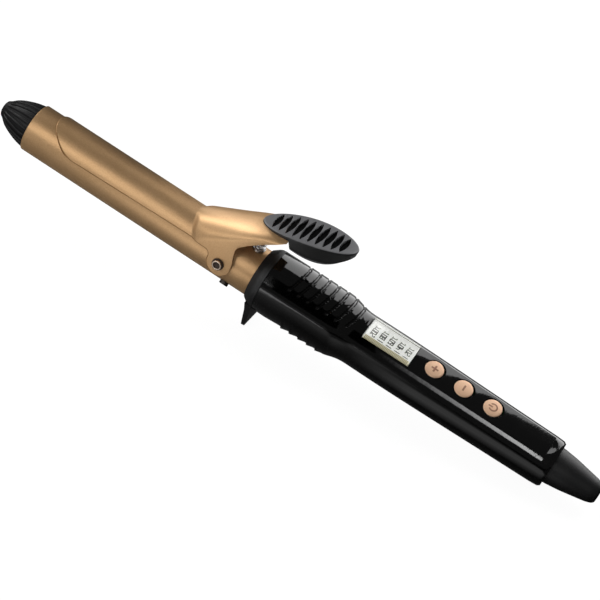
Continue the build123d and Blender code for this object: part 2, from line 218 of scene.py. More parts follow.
# Sprayed ceramic coat on aluminium: a satin bronze with a fine metal flake
BARREL_COAT = Finish(
    "bronze_ceramic_coat_sprayed", "#BE9669", "#D0AA7E", 0.42, 0.55, Grain.EVEN, 0.68, 0.06, 0.12)
CLAMP_COAT = replace(BARREL_COAT, name="bronze_ceramic_coat_on_stamping")
# The same coat, darker and browner, on the rolled edge of the stamping beside the barrel: painted shade that
# draws the shadow line between the stamping and the barrel
EDGE_SHADE_COAT = Finish(
    "bronze_coat_painted_shade_on_rolled_edge", "#91693F", "#9E774C", 0.5, 0.4, Grain.DRAWN, 0.6, 0.05, 0.05)
# ABS from a polished mould: deep gloss black with the faintest ripple
GLOSS_ABS = Finish("abs_gloss_black_moulded", "#040404", "#060606", 0.07, 6.0, Grain.EVEN, 0.0, 0.02, 0.02)
# Heat-proof nylon from an etched mould: matt black with a fine tooth
TIP_NYLON = Finish(
    "nylon_black_etched_mould", "#050506", "#09090A", 0.45, 0.5, spread=0.06, lift=0.15, ior=1.36)
COLLAR_NYLON = Finish("nylon_black_collar_moulded", "#0C0C0D", "#121213", 0.50, 0.45, spread=0.06, lift=0.15)
# Thumb rest in satin glass-filled nylon, its face painted a soft grey: painted sheen of the light from above
REST_NYLON_SHEEN = Finish("nylon_thumb_rest_painted_sheen", "#58585A", "#626264", 0.42, 0.5, lift=0.12)
# Its skirt, out of the light: the same nylon painted plain satin black, the shaded copy beside the painted
# sheen of the face
REST_SKIRT_SHADED = Finish("nylon_thumb_rest_shaded_skirt", "#060606", "#0A0A0A", 0.5, 0.5, lift=0.12)
# Its grooves, left rough by the mould, painted dead black: painted shade in the recesses
REST_GROOVE_SHADE = Finish(
    "nylon_thumb_rest_painted_groove_shade", "#020202", "#030303", 0.8, 0.5, spread=0.06, lift=0.15, ior=1.1)
# Moulded rubber boot: matt, slightly dusty black
BOOT_RUBBER = Finish("rubber_black_moulded", "#0B0B0C", "#111112", 0.50, 0.6, spread=0.06, lift=0.12)
# Vacuum-plated keys: satin rose gold
ROSE_PLATE = Finish("rose_gold_plate_satin", "#E9BC98", "#F0C9A8", 0.45, 0.4, Grain.EVEN, 0.3, 0.05, 0.08)
# Pad-printed ink on the keys: a flat brown
SIGN_INK = Finish("brown_ink_pad_printed", "#9A6850", "#A8765C", 0.5, 0.4)
# Polished acrylic lens: clear with a faint warm edge
LENS_ACRYLIC = Finish(
    "acrylic_clear_polished", "#F4F3EC", "#FAFAF6", 0.03, 8.0, lift=0.0, spread=0.01, ior=1.49, clear=1.0)
# Reflective liquid-crystal film: pale silver grey, with a painted glow that brightens it
LCD_FILM = Finish("lcd_film_silver_painted_glow", "#DCDEE0", "#E6E7E8", 0.4, 0.6, lift=0.02, glow=0.85)
# Its segments: near black when on, a mid grey when weak
LCD_INK = Finish("lcd_segments_dark", "#121413", "#1B1D1C", 0.5, 0.6)
LCD_DIM = Finish("lcd_segments_faint", "#858B87", "#8F948F", 0.5, 0.6)
# Moulded light guide beside the film: cream, with a painted glow that lifts it out of the shell's shade, and
# darker ticks across it
LIGHT_GUIDE = Finish("light_guide_cream_painted_glow", "#D9D3B4", "#E8E2C6", 0.35, 0.8, glow=0.45)
GUIDE_MARK = Finish("light_guide_shade", "#8C8768", "#9A9576", 0.5, 0.8)
# Pivot screws, turned and plated: a warm mirror round a socket painted dull brown, the painted shade deep in
# the socket
SCREW_CHROME = Finish("chrome_plate_polished", "#B9A695", "#C6B4A4", 0.2, 1.5, Grain.TURNED, 1.0, 0.03, 0.02)
SOCKET_SHADE = Finish("steel_socket_painted_shade", "#2E2118", "#3B2B20", 0.6, 0.5, Grain.TURNED)
# Zinc-plated steel, blacked: dark with a dull shine
SCREW_STEEL = Finish("steel_black_zinc", "#3A3734", "#4A4642", 0.38, 0.6, Grain.TURNED, 0.9, 0.06, 0.05)
# Drawn spring wire: bright along the wire
SPRING_STEEL = Finish("spring_steel_drawn", "#B9BABB", "#CFCFCF", 0.24, 0.4, Grain.DRAWN, 1.0, 0.05, 0.04)
# Inner pieces: turned brass, extruded aluminium, fired alumina, fused glass
BRASS = Finish("brass_turned", "#C9A24E", "#D8B466", 0.3, 0.6, Grain.TURNED, 1.0)
ALUMINIUM = Finish("aluminium_extruded", "#BFC1C3", "#CFD1D2", 0.35, 0.5, Grain.DRAWN, 1.0)
CERAMIC = Finish("alumina_fired", "#E3DED2", "#EDE9DF", 0.6, 0.5)
GLASS_BEAD = Finish("glass_bead_fused", "#B59A6A", "#C4AA7C", 0.1, 1.0)
# Inner plastics: red silicone sleeving, brown phenolic, grey ABS, green laminate, blue film on the can
SLEEVE = Finish("silicone_sleeve_red", "#8E2018", "#A02A20", 0.5, 0.6)
HOT_PLASTIC = Finish("phenolic_brown_moulded", "#4A3A2C", "#574536", 0.55, 0.5)
DARK_PLASTIC = Finish("abs_dark_grey_moulded", "#2E2F30", "#383939", 0.5, 0.5)
LAMINATE = Finish("glass_epoxy_laminate", "#1E5A32", "#27683B", 0.35, 0.5, Grain.DRAWN)
CAN_SLEEVE = Finish("pvc_sleeve_blue", "#3D5C86", "#496A96", 0.35, 0.6)


def panel_height(x: float | np.ndarray) -> float | np.ndarray:
    """Height of the key panel over the axis at stations along it."""
    return PANEL_TOP - PANEL_FALL * (x - KEYS["plus"])


def cubic(points: list[tuple[float, float]], at: np.ndarray) -> np.ndarray:
    """Natural cubic curve through points.

    Args:
        points: knots as (station, value).
        at: stations to read.

    Returns:
        The values there.
    """
    x, y = np.array(points, float).T
    h = np.diff(x)
    n = len(x)
    system = np.eye(n)
    right = np.zeros(n)
    for i in range(1, n - 1):
        system[i, i - 1:i + 2] = h[i - 1], 2 * (h[i - 1] + h[i]), h[i]
        right[i] = 6 * ((y[i + 1] - y[i]) / h[i] - (y[i] - y[i - 1]) / h[i - 1])
    bend = np.linalg.solve(system, right)
    at = np.clip(at, x[0], x[-1])
    k = np.clip(np.searchsorted(x, at) - 1, 0, n - 2)
    left, rest = at - x[k], x[k + 1] - at
    arch = (bend[k] * rest ** 3 + bend[k + 1] * left ** 3) / (6 * h[k])
    before, after = y[k] / h[k] - bend[k] * h[k] / 6, y[k + 1] / h[k] - bend[k + 1] * h[k] / 6
    return arch + before * rest + after * left


def rise(edge0: float, edge1: float, at: np.ndarray) -> np.ndarray:
    """Smooth step from 0 at the first edge to 1 at the second."""
    t = np.clip((at - edge0) / (edge1 - edge0), 0.0, 1.0)
    return t * t * (3 - 2 * t)


def rounded(outline: list[tuple[float, float, float]], steps: int = 6) -> list[tuple[float, float]]:
    """Round the corners of an outline.

    Args:
        outline: corners as (x, r, corner radius).
        steps: points on each rounded corner.

    Returns:
        Points of the rounded outline.
    """
    points: list[tuple[float, float]] = []
    last = len(outline) - 1
    for i, (x, r, radius) in enumerate(outline):
        here = Vector((x, r))
        if radius <= 0 or i in (0, last):
            points.append((x, r))
            continue
        back = Vector(outline[i - 1][:2]) - here
        ahead = Vector(outline[i + 1][:2]) - here
        reach = min(radius, back.length * 0.48, ahead.length * 0.48)
        start, end = here + back.normalized() * reach, here + ahead.normalized() * reach
        for step in range(steps + 1):
            t = step / steps
            spot = start * (1 - t) ** 2 + here * (2 * t * (1 - t)) + end * t * t
            points.append((spot.x, spot.y))
    return points


def finished(mesh: bpy.types.Mesh, place: Matrix, sharp: float = 32.0, recalc: bool = True) -> bpy.types.Mesh:
    """Set a mesh in place, close its seams and give it smooth faces with crisp edges.

    Args:
        mesh: the mesh to finish.
        place: where it goes.
        sharp: edges over this many degrees stay crisp.
        recalc: turn all faces outwards.

    Returns:
        The same mesh.
    """
    work = bmesh.new()
    work.from_mesh(mesh)
    work.transform(place)
    bmesh.ops.remove_doubles(work, verts=work.verts, dist=SEAM)
    if recalc:
        bmesh.ops.recalc_face_normals(work, faces=work.faces)
    work.to_mesh(mesh)
    work.free()
    mesh.shade_smooth()
    mesh.set_sharp_from_angle(angle=math.radians(sharp))
    return mesh


def grid(
    name: str, points: np.ndarray, wrap_rows: bool = False, wrap_columns: bool = False
) -> bpy.types.Mesh:
    """Mesh of quads over a grid of points.

    Args:
        name: the mesh's name.
        points: rows by columns by three.
        wrap_rows: join the last row to the first.
        wrap_columns: join the last column to the first.

    Returns:
        The new mesh.
    """
    rows, columns = points.shape[:2]
    steps, turns = rows - (not wrap_rows), columns - (not wrap_columns)
    i, j = np.meshgrid(np.arange(steps), np.arange(turns), indexing="ij")
    i2, j2 = (i + 1) % rows, (j + 1) % columns
    quads = np.stack([i * columns + j, i2 * columns + j, i2 * columns + j2, i * columns + j2], -1)
    mesh = bpy.data.meshes.new(name)
    mesh.from_pydata(points.reshape(-1, 3).tolist(), [], quads.reshape(-1, 4).tolist())
    return mesh


def lathe(
    name: str, outline: list[tuple[float, float]], closed: bool = False, sides: int = 128
) -> bpy.types.Mesh:
    """Turn an outline of (x, radius) points about the axis.

    Args:
        name: the mesh's name.
        outline: points from front to rear.
        closed: the outline is a loop, as of a tube.
        sides: steps round the axis.

    Returns:
        The new mesh, on the axis.
    """
    line = np.array(outline, float)
    turn = np.linspace(0, 2 * math.pi, sides, endpoint=False)
    x = np.repeat(line[:, :1], sides, 1)
    y = line[:, 1:] * np.sin(turn)
    z = line[:, 1:] * np.cos(turn)
    return grid(name, np.stack([x, y, z], -1), closed, True)


def node_body(node: str) -> str:
    """Name of the body that a node of the frame belongs to."""
    bodies = frame["record"]["behaviour"]["bodies"]
    return next(body for body, nodes in bodies.items() if node in nodes)


def piece(name: str, mesh: bpy.types.Mesh, finish: Finish, like: str, *stands_for: str) -> bpy.types.Object:
    """Add a finished mesh to the scene and tie it to the frame.

    Args:
        name: the piece's name.
        mesh: its mesh, already in place.
        finish: its surface.
        like: node whose body it takes.
        stands_for: nodes of the frame that it replaces.

    Returns:
        The new object.
    """
    mesh.name = name
    made = placed(name, mesh)
    mesh.materials.clear()
    mesh.materials.append(finish.material())
    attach(made, node_body(like))
    if stands_for:
        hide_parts(*stands_for)
    LOG.info("%s: %d faces", name, len(mesh.polygons))
    return made


def dress(node: str, finish: Finish) -> None:
    """Give a node of the frame its surface.

    Args:
        node: the node, which keeps its own mesh.
        finish: its surface.
    """
    mesh = frame["nodes"][node].data
    mesh.materials.clear()
    mesh.materials.append(finish.material())
    LOG.info("%s: dressed as %s", node, finish.name)


def from_frame(
    node: str, name: str, finish: Finish, sharp: float = 25.0, bevel_mm: float = 0.0
) -> bpy.types.Object:
    """Copy a node of the frame with joined faces, smooth shading and eased edges.

    Args:
        node: the node to copy and replace.
        name: the piece's name.
        finish: its surface.
        sharp: edges over this many degrees stay crisp.
        bevel_mm: size of the ease on sharp edges, none at zero.

    Returns:
        The new object.
    """
    mesh = finished(frame["nodes"][node].data.copy(), Matrix.Identity(4), sharp, False)
    made = piece(name, mesh, finish, node, node)
    if bevel_mm:
        ease = made.modifiers.new("ease", "BEVEL")
        ease.width = bevel_mm * MM
        ease.segments = 2
        ease.limit_method = "ANGLE"
        ease.angle_limit = math.radians(40)
        ease.harden_normals = True
    return made


def grown(
    name: str, tree: bpy.types.NodeTree, values: dict[str, float], base: bpy.types.Mesh
) -> bpy.types.Mesh:
    """Run a node tree on a mesh and return the plain result.

    Args:
        name: name of the result.
        tree: the geometry tree.
        values: the tree's named inputs.
        base: the mesh that the tree works on.

    Returns:
        A plain mesh.
    """
    host = placed(name, base)
    worker = host.modifiers.new("tree", "NODES")
    worker.node_group = tree
    for item in tree.interface.items_tree:
        if item.item_type == "SOCKET" and item.in_out == "INPUT" and item.name in values:
            worker[item.identifier] = values[item.name]
    seen = host.evaluated_get(bpy.context.evaluated_depsgraph_get())
    mesh = bpy.data.meshes.new_from_object(seen)
    bpy.data.objects.remove(host)
    mesh.name = name
    return mesh


def new_tree(name: str, sizes: dict[str, tuple[str, float]]) -> tuple[bpy.types.NodeTree, bpy.types.Node]:
    """Start a geometry tree with named inputs.

    Args:
        name: the tree's name.
        sizes: input name to its socket type and first value.

    Returns:
        The tree and its input node.
    """
    tree = bpy.data.node_groups.new(name, "GeometryNodeTree")
    tree.interface.new_socket("Geometry", in_out="INPUT", socket_type="NodeSocketGeometry")
    for label, (kind, value) in sizes.items():
        tree.interface.new_socket(label, in_out="INPUT", socket_type=kind).default_value = value
    tree.interface.new_socket("Geometry", in_out="OUTPUT", socket_type="NodeSocketGeometry")
    return tree, add(tree, "NodeGroupInput")


def end_tree(tree: bpy.types.NodeTree, shape: bpy.types.NodeSocket, finish: Finish) -> None:
    """Close a geometry tree: real faces, one material, output.

    Args:
        tree: the tree to close.
        shape: the socket that holds its shape.
        finish: the surface of that shape.
    """
    real = add(tree, "GeometryNodeRealizeInstances", {}, {0: shape})
    skin = add(tree, "GeometryNodeSetMaterial", {}, {0: real.outputs[0], "Material": finish.material()})
    add(tree, "NodeGroupOutput", {}, {0: skin.outputs[0]})


def ring_tree(finish: Finish) -> bpy.types.NodeTree:
    """Tree that repeats a shape round the axis.

    Args:
        finish: its surface.

    Returns:
        The tree.
    """
    tree, given = new_tree("repeat_round_axis", {"Count": ("NodeSocketInt", 20)})
    spots = add(tree, "GeometryNodeMeshLine", {"mode": "OFFSET"}, {
        "Count": given.outputs["Count"], "Offset": (0, 0, 0)})
    index = add(tree, "GeometryNodeInputIndex")
    share = add(tree, "ShaderNodeMath", {"operation": "DIVIDE"}, {
        0: index.outputs[0], 1: given.outputs["Count"]})
    angle = add(tree, "ShaderNodeMath", {"operation": "MULTIPLY"}, {0: share.outputs[0], 1: 2 * math.pi})
    turn = add(tree, "ShaderNodeCombineXYZ", {}, {"X": angle.outputs[0]})
    copies = add(tree, "GeometryNodeInstanceOnPoints", {}, {
        "Points": spots.outputs[0], "Instance": given.outputs["Geometry"], "Rotation": turn.outputs[0]})
    end_tree(tree, copies.outputs[0], finish)
    return tree


def row_tree(finish: Finish) -> bpy.types.NodeTree:
    """Tree that repeats a shape in a straight row along the axis.

    Args:
        finish: its surface.

    Returns:
        The tree.
    """
    tree, given = new_tree("repeat_in_row", {
        "Count": ("NodeSocketInt", 10), "Pitch": ("NodeSocketFloat", 1.0)})
    step = add(tree, "ShaderNodeCombineXYZ", {}, {"X": given.outputs["Pitch"]})
    spots = add(tree, "GeometryNodeMeshLine", {"mode": "OFFSET"}, {
        "Count": given.outputs["Count"], "Offset": step.outputs[0]})
    copies = add(tree, "GeometryNodeInstanceOnPoints", {}, {
        "Points": spots.outputs[0], "Instance": given.outputs["Geometry"]})
    end_tree(tree, copies.outputs[0], finish)
    return tree


def coil_tree(finish: Finish) -> bpy.types.NodeTree:
    """Tree that winds a wire into an upright coil.

    Args:
        finish: its surface.

    Returns:
        The tree.
    """
    tree, given = new_tree("wound_wire", {
        "Turns": ("NodeSocketFloat", 6.0), "Radius": ("NodeSocketFloat", 2.7),
        "Height": ("NodeSocketFloat", 13.5), "Wire": ("NodeSocketFloat", 0.45)})
    line = add(tree, "GeometryNodeCurveSpiral", {}, {
        "Resolution": 32, "Rotations": given.outputs["Turns"], "Start Radius": given.outputs["Radius"],
        "End Radius": given.outputs["Radius"], "Height": given.outputs["Height"], "Reverse": False})
    ring = add(tree, "GeometryNodeCurvePrimitiveCircle", {}, {
        "Resolution": 12, "Radius": given.outputs["Wire"]})
    wire = add(tree, "GeometryNodeCurveToMesh", {}, {
        "Curve": line.outputs[0], "Profile Curve": ring.outputs[0], "Fill Caps": True})
    end_tree(tree, wire.outputs[0], finish)
    return tree


def bead_tree(finish: Finish) -> bpy.types.NodeTree:
    """Tree that runs a round bead along a line.

    Args:
        finish: its surface.

    Returns:
        The tree.
    """
    tree, given = new_tree("bead_along_line", {"Radius": ("NodeSocketFloat", 0.35)})
    line = add(tree, "GeometryNodeMeshToCurve", {}, {0: given.outputs["Geometry"]})
    ring = add(tree, "GeometryNodeCurvePrimitiveCircle", {}, {
        "Resolution": 12, "Radius": given.outputs["Radius"]})
    bead = add(tree, "GeometryNodeCurveToMesh", {}, {
        "Curve": line.outputs[0], "Profile Curve": ring.outputs[0], "Fill Caps": True})
    end_tree(tree, bead.outputs[0], finish)
    return tree


def slab(name: str, x: tuple[float, float], y: tuple[float, float], z: tuple[float, float]) -> bpy.types.Mesh:
    """Plain block, as a cutter or a small flat piece.

    Args:
        name: the mesh's name.
        x: its ends along the axis.
        y: its sides.
        z: its bottom and top.

    Returns:
        The new mesh.
    """
    work = bmesh.new()
    bmesh.ops.create_cube(work, size=1.0)
    for v in work.verts:
        v.co = Vector((
            x[0] if v.co.x < 0 else x[1], y[0] if v.co.y < 0 else y[1], z[0] if v.co.z < 0 else z[1]))
    mesh = bpy.data.meshes.new(name)
    work.to_mesh(mesh)
    work.free()
    return mesh


@dataclass
class HotEnd:
    """Cool tip and heated barrel."""

    tip_end: float = 18.4
    nose: tuple[tuple[float, float], ...] = (
        (0.0, 1.2), (0.35, 2.7), (1.5, 4.4), (4.5, 6.75), (8.8, 9.1), (13.5, 10.75), (18.4, 11.75))
    plug_end: float = 24.0
    plug_r: float = 11.3
    flute: float = 0.75
    ribs: int = 20
    rib_high: float = 0.95
    rib_half: tuple[float, float] = (0.25, 1.2)
    rib_root: float = 0.86
    barrel: tuple[float, float] = (18.9, 166.0)
    barrel_r: float = 12.5
    barrel_wall: float = 0.8

    def tip_radius(self, x: np.ndarray) -> np.ndarray:
        """Radius of the bullet nose at stations behind its front."""
        return cubic(list(self.nose), x)

    def build_tip(self) -> None:
        """Bullet nose with raised ribs along it."""
        x = np.concatenate([[0.0, 0.0], np.linspace(0.02, self.tip_end, 40)])
        r = self.tip_radius(x) - self.flute * rise(2.2, 5.0, x)
        r[0] = 0.0
        plug = [(self.tip_end, self.plug_r), (self.plug_end, self.plug_r), (self.plug_end, 0.0)]
        outline = list(zip(x, r)) + plug
        piece("tip_core", finished(lathe("tip_core", outline), HOME), TIP_NYLON, "cool_tip", "cool_tip")
        ribs = grown("tip_ribs", ring_tree(TIP_NYLON), {"Count": self.ribs}, self.rib())
        piece("tip_ribs", finished(ribs, HOME, 50), TIP_NYLON, "cool_tip")

    def rib(self) -> bpy.types.Mesh:
        """One rib: rounded across, tapered to both ends.

        Returns:
            Its mesh, along the top of the tip.
        """
        x = np.linspace(2.0, self.tip_end - 0.1, 28)
        across = np.linspace(-1, 1, 11)
        share = (x - x[0]) / (x[-1] - x[0])
        front, rear = self.rib_half
        half = front + (rear - front) * np.sqrt(share)
        top = self.tip_radius(x)
        lift = self.rib_high * np.minimum(1.0, share * 6)
        radius = (top - lift)[:, None] + lift[:, None] * np.sqrt(np.clip(1 - across ** 2, 0, 1))[None, :]
        angle = half[:, None] * across[None, :] / np.maximum(top, 2.0)[:, None]
        points = np.stack([
            np.repeat(x[:, None], len(across), 1), radius * np.sin(angle), radius * np.cos(angle)], -1)
        root = points.copy()
        root[..., 1:] *= self.rib_root
        shell = np.concatenate([points, root[:, ::-1]], 1)
        return grid("rib", shell, False, True)

    def build_barrel(self) -> None:
        """Heated tube with a rolled front edge."""
        x0, x1 = self.barrel
        inner = self.barrel_r - self.barrel_wall
        outline = rounded([
            (x0 + 3, inner, 0), (x0, inner, 0.2), (x0, self.barrel_r, 0.9), (x0 + 4, self.barrel_r, 0),
            (x1, self.barrel_r, 0), (x1, inner, 0)])
        mesh = finished(lathe("barrel_tube", outline, True, 160), HOME)
        piece("barrel_tube", mesh, BARREL_COAT, "barrel", "barrel")

    def build(self) -> None:
        """Build and dress the hot end."""
        self.build_tip()
        self.build_barrel()
        for node in ("heat_spreader_upper", "heat_spreader_lower"):
            dress(node, ALUMINIUM)
        for node in ("ptc_heater", "tip_insulator"):
            dress(node, CERAMIC)
        dress("thermistor", GLASS_BEAD)
        dress("thermal_fuse", SCREW_STEEL)
        dress("heater_leads", SLEEVE)
        dress("barrel_insulator", HOT_PLASTIC)
        dress("pivot_block", HOT_PLASTIC)


@dataclass
class ClampArm:
    """Hair clamp with its pivot, spring and thumb rest."""

    rest_at: tuple[float, float, float] = (165.8, 0.0, 37.0)
    rest_slope: float = 14.5
    rest_half: tuple[float, float] = (24.7, 12.3)
    rest_rim: float = 0.965
    rest_ease: float = 0.7
    grooves: int = 10
    groove_pitch: float = 3.9
    groove_half: float = 1.65
    groove_reach: float = 0.83
    groove_deep: tuple[float, float] = (1.1, 1.6)
    spring_at: tuple[float, float, float] = (146.5, 0.0, 13.35)
    coil_r: float = 2.7
    wire_r: float = 0.45
    turns: float = 6.0
    coil_pitch: float = 2.25
    pivot: tuple[float, float] = (134.7, 1.8)
    ear_r: float = 6.3
    crease: float = 111.8
    crease_lean: float = 0.6
    waist: float = 1.7
    swell: float = 0.15
    tongue_x: float = 159.5
    tongue_half: float = 7.0
    sheet: float = 0.7
    spoon_r: float = 13.5
    spoon_nose: tuple[tuple[float, float], ...] = (
        (0.0, 29.6), (3.3, 30.1), (6.0, 31.2), (9.2, 34.4), (11.5, 39.2), (12.6, 45.0), (13.1, 52.0))
    lever: tuple[tuple[float, float, float, float], ...] = (
        (111.8, 0.0, 13.5, 13.5), (126.0, 10.0, 14.0, 20.3), (134.7, 16.2, 14.2, 24.5),
        (142.0, 21.6, 14.1, 28.0), (151.0, 26.4, 13.2, 31.3), (159.0, 29.4, 12.0, 33.3),
        (186.0, 36.4, 9.0, 39.6))

    def build(self) -> None:
        """Build and dress the clamp arm."""
        self.build_stamping()
        self.build_rest()
        self.build_spring()
        self.build_screw("near", -1, "pivot_screw_left")
        self.build_screw("far", 1, "pivot_screw_right")
        # The washers take the painted shade too: a dark ring round each screw head where there is only a
        # shadow gap
        dress("pivot_washers", SOCKET_SHADE)
        dress("pivot_bushes", BRASS)
        from_frame("barrel_screws", "barrel_screw_heads", SCREW_STEEL, 30.0, 0.2)
        dress("spring_seat", SPRING_STEEL)
        dress("thumb_rest_screw", SCREW_STEEL)

    def groove_depth(self, u: np.ndarray, v: np.ndarray) -> np.ndarray:
        """Depth of the lens-shaped grooves, the front three shallower.

        Args:
            u: distance along the pad from its middle.
            v: distance across it.

        Returns:
            Depth at those points, zero beside a groove.
        """
        a, b = self.rest_half
        shallow, deep = self.groove_deep
        depth = np.zeros_like(u)
        for index in range(self.grooves):
            along = (index - (self.grooves - 1) / 2) * self.groove_pitch
            reach = self.groove_reach * b * math.sqrt(1 - (along / a) ** 2)
            half = self.groove_half * (1 - np.abs(v / reach) ** 2.2)
            inside = rise(0.0, 0.3, half - np.abs(u - along)) * (np.abs(v) < reach)
            depth = np.maximum(depth, (shallow if index < 3 else deep) * inside)
        return depth

    def lower_edge(self) -> np.ndarray:
        """Side outline of the stamping's lower edge as (station, height), front to rear.

        Returns:
            Points from behind the nose, round the pivot ear, along the lever.
        """
        px, pz = self.pivot
        swing = np.radians(np.linspace(180, 360, 29))
        ear = np.stack([px + self.ear_r * np.cos(swing), pz + self.ear_r * np.sin(swing)], -1)
        front = [(29.0, 4.05), (110.0, 5.45), (111.8, 5.48), (120.0, 5.6), (125.2, 5.7), (126.5, 5.5),
                 (127.5, 4.8), (128.1, 3.8), (128.36, 2.8)]
        rear = [(141.02, 6.0), (141.04, 11.5), (141.1, 13.5), (141.2, 15.4), (141.8, 17.8), (143.6, 20.1),
                (148.3, 23.8), (153.1, 27.1), (159.0, 30.9), (164.0, 33.0), (190.0, 38.4)]
        return np.array([*front, *ear.tolist(), *rear])

    def section(self, x: np.ndarray, inset: float) -> tuple[np.ndarray, np.ndarray, np.ndarray]:
        """Arch of the stamping: round over the barrel, free on the lever.

        Args:
            x: stations.
            inset: distance in from the outer face.

        Returns:
            Spring line, half width and arch height at the stations.
        """
        spoon = x < self.crease
        line = np.where(spoon, 0.0, cubic([(a, b) for a, b, _, _ in self.lever], x))
        half = np.where(spoon, self.spoon_r, cubic([(a, c) for a, _, c, _ in self.lever], x)) - inset
        high = np.where(spoon, self.spoon_r, cubic([(a, d - b) for a, b, _, d in self.lever], x)) - inset
        return line, half, high

    def stations(self) -> tuple[np.ndarray, np.ndarray, np.ndarray]:
        """Where the stamping's sections stand, closest where its outline turns.

        Returns:
            Stations, the half width that the outline leaves there, and the lower edge's height there.
        """
        nose = np.array(self.spoon_nose)
        chord = np.concatenate([[0], np.cumsum(np.linalg.norm(np.diff(nose, axis=0), axis=1))])
        along = chord[-1] * np.linspace(0.0, 1.0, 60) ** 1.6
        tip_y = cubic(list(zip(chord, nose[:, 0])), along)
        tip_x = cubic(list(zip(chord, nose[:, 1])), along)
        edge = self.lower_edge()
        fine = edge[(edge[:, 0] > 112) & (edge[:, 0] < 159), 0]
        x = np.concatenate([
            tip_x, np.linspace(53, self.crease, 60), np.arange(112.4, 128, 0.6), fine,
            np.arange(129, 159.4, 0.7), [self.tongue_x, self.tongue_x + 0.02], np.linspace(160, 184, 20)])
        x = np.unique(np.round(x, 4))
        unbound = 3 * self.spoon_r
        spread = np.where(x < nose[-1, 1], np.interp(x, tip_x, tip_y),
                          np.where(x > self.tongue_x, self.tongue_half, unbound))
        return x, spread, np.interp(x, edge[:, 0], edge[:, 1])

    def build_stamping(self) -> None:
        """One stamping: spoon over the barrel, two pivot ears and the raised lever."""
        x, spread, low = self.stations()
        raised = rise(self.crease, 116.0, x) * (1 - rise(149.0, 157.0, x))
        full = 1 / (1 + self.swell * raised)
        folded = rise(101.0, self.crease, x) * (1 - rise(self.crease, 125.5, x))
        skins = []
        for inset in (0.0, self.sheet):
            line, half, high = self.section(x, inset)
            side_z = np.maximum(low, line)
            lean = np.arcsin(np.clip((side_z - line) / high, 0.0, 1.0) ** (1 / full))
            lean = np.maximum(lean, np.arccos(np.clip(spread / half, 0.0, 1.0) ** (1 / full)))
            swing = lean[:, None] + (math.pi - 2 * lean)[:, None] * np.linspace(0, 1, 97)[None, :]
            across = np.cos(swing)
            arch_y = -half[:, None] * np.sign(across) * np.abs(across) ** full[:, None]
            arch_z = line[:, None] + high[:, None] * np.abs(np.sin(swing)) ** full[:, None]
            drop = np.linspace(1, 0, 9)[None, :-1] * (side_z - np.minimum(low, line))[:, None]
            leg_z = side_z[:, None] - np.where(low < line, 1.0, 0.0)[:, None] * drop
            leg_z = np.where((low < line)[:, None], leg_z, arch_z[:, :1])
            leg_y = np.repeat(arch_y[:, :1], 8, 1)
            y = np.concatenate([leg_y, arch_y, -leg_y[:, ::-1]], 1)
            z = np.concatenate([leg_z, arch_z, leg_z[:, ::-1]], 1)
            waist = rise(4.0, 12.5, z) * (1 - rise(15.0, 19.0, z)) * rise(133.0, 140.5, x)[:, None]
            mitre = np.clip(self.spoon_r - z, 0.0, 9.0) * folded[:, None]
            skins.append(np.stack([x[:, None] - self.waist * waist + self.crease_lean * mitre, y, z], -1))
        sheet = np.concatenate([skins[0], skins[1][:, ::-1]], 1)
        mesh = grid("clamp_stamping", sheet[x <= self.tongue_x], False, True)
        piece("clamp_stamping", finished(mesh, HOME, 17.0), CLAMP_COAT, "clamp", "clamp")
        mesh = grid("clamp_tongue", sheet[x > self.tongue_x], False, True)
        made = piece("clamp_tongue", finished(mesh, HOME, 17.0), CLAMP_COAT, "clamp")
        # The grip below mirrors the card overhead, not the tongue and the pad
        made.visible_glossy = False
        self.build_edge(x, (skins[0] + skins[1]) / 2)

    def build_edge(self, x: np.ndarray, middle: np.ndarray) -> None:
        """Rolled edge round the spoon's nose and down both sides to the ears; the two side runs carry painted
        shade, the shadow line against the barrel.

        Args:
            x: stations of the stamping's sections.
            middle: points half way through the sheet, sections by columns.
        """
        ahead = x < 33.0
        beside = (x > 32.8) & (x < self.pivot[0] + 2.0)
        # The side runs are painted darker as the shadow line along the barrel; the nose run keeps the plain
        # coat
        runs = {"nose": (CLAMP_COAT, np.concatenate([middle[ahead][::-1, 0], middle[ahead][1:, -1]])),
                "near": (EDGE_SHADE_COAT, middle[beside][:, 0]), "far": (EDGE_SHADE_COAT, middle[beside][:, -1])}
        for name, (finish, line) in runs.items():
            mesh = bpy.data.meshes.new("edge_line")
            mesh.from_pydata(line.tolist(), [(i, i + 1) for i in range(len(line) - 1)], [])
            bead = grown("clamp_edge_" + name, bead_tree(finish), {"Radius": self.sheet / 2 + 0.03}, mesh)
            piece("clamp_edge_" + name, finished(bead, HOME, 50.0), finish, "clamp")

    def build_screw(self, name: str, side: int, node: str) -> None:
        """Pivot screw: a bright turned rim round a deep socket, whose dark floor is painted shade.

        Args:
            name: side of the iron, as in the piece's name.
            side: -1 on the near side, 1 on the far side.
            node: node of the frame that it replaces.
        """
        px, pz = self.pivot
        rim = rounded([
            (8.6, 0, 0), (8.6, 1.5, 0.1), (13.2, 1.5, 0.1), (13.2, 2.0, 0.1), (14.92, 2.0, 0),
            (14.92, 2.6, 0.2), (16.2, 2.6, 0.35), (16.2, 1.75, 0.25), (15.3, 1.55, 0), (15.3, 0.0, 0)])
        turn = Matrix.Translation((px, 0, pz)) @ Matrix.Rotation(side * math.pi / 2, 4, "Z")
        screw = finished(lathe("screw", rim, False, 64), HOME @ turn)
        piece("pivot_screw_" + name, screw, SCREW_CHROME, node, node)
        # Dark cup in the socket: painted shade where the socket's floor lies in shadow
        cup = [(15.32, 0.0), (15.32, 1.52), (15.5, 1.54), (15.34, 0.9), (15.34, 0.0)]
        socket = finished(lathe("socket", cup, False, 48), HOME @ turn)
        piece("pivot_socket_" + name, socket, SOCKET_SHADE, node)

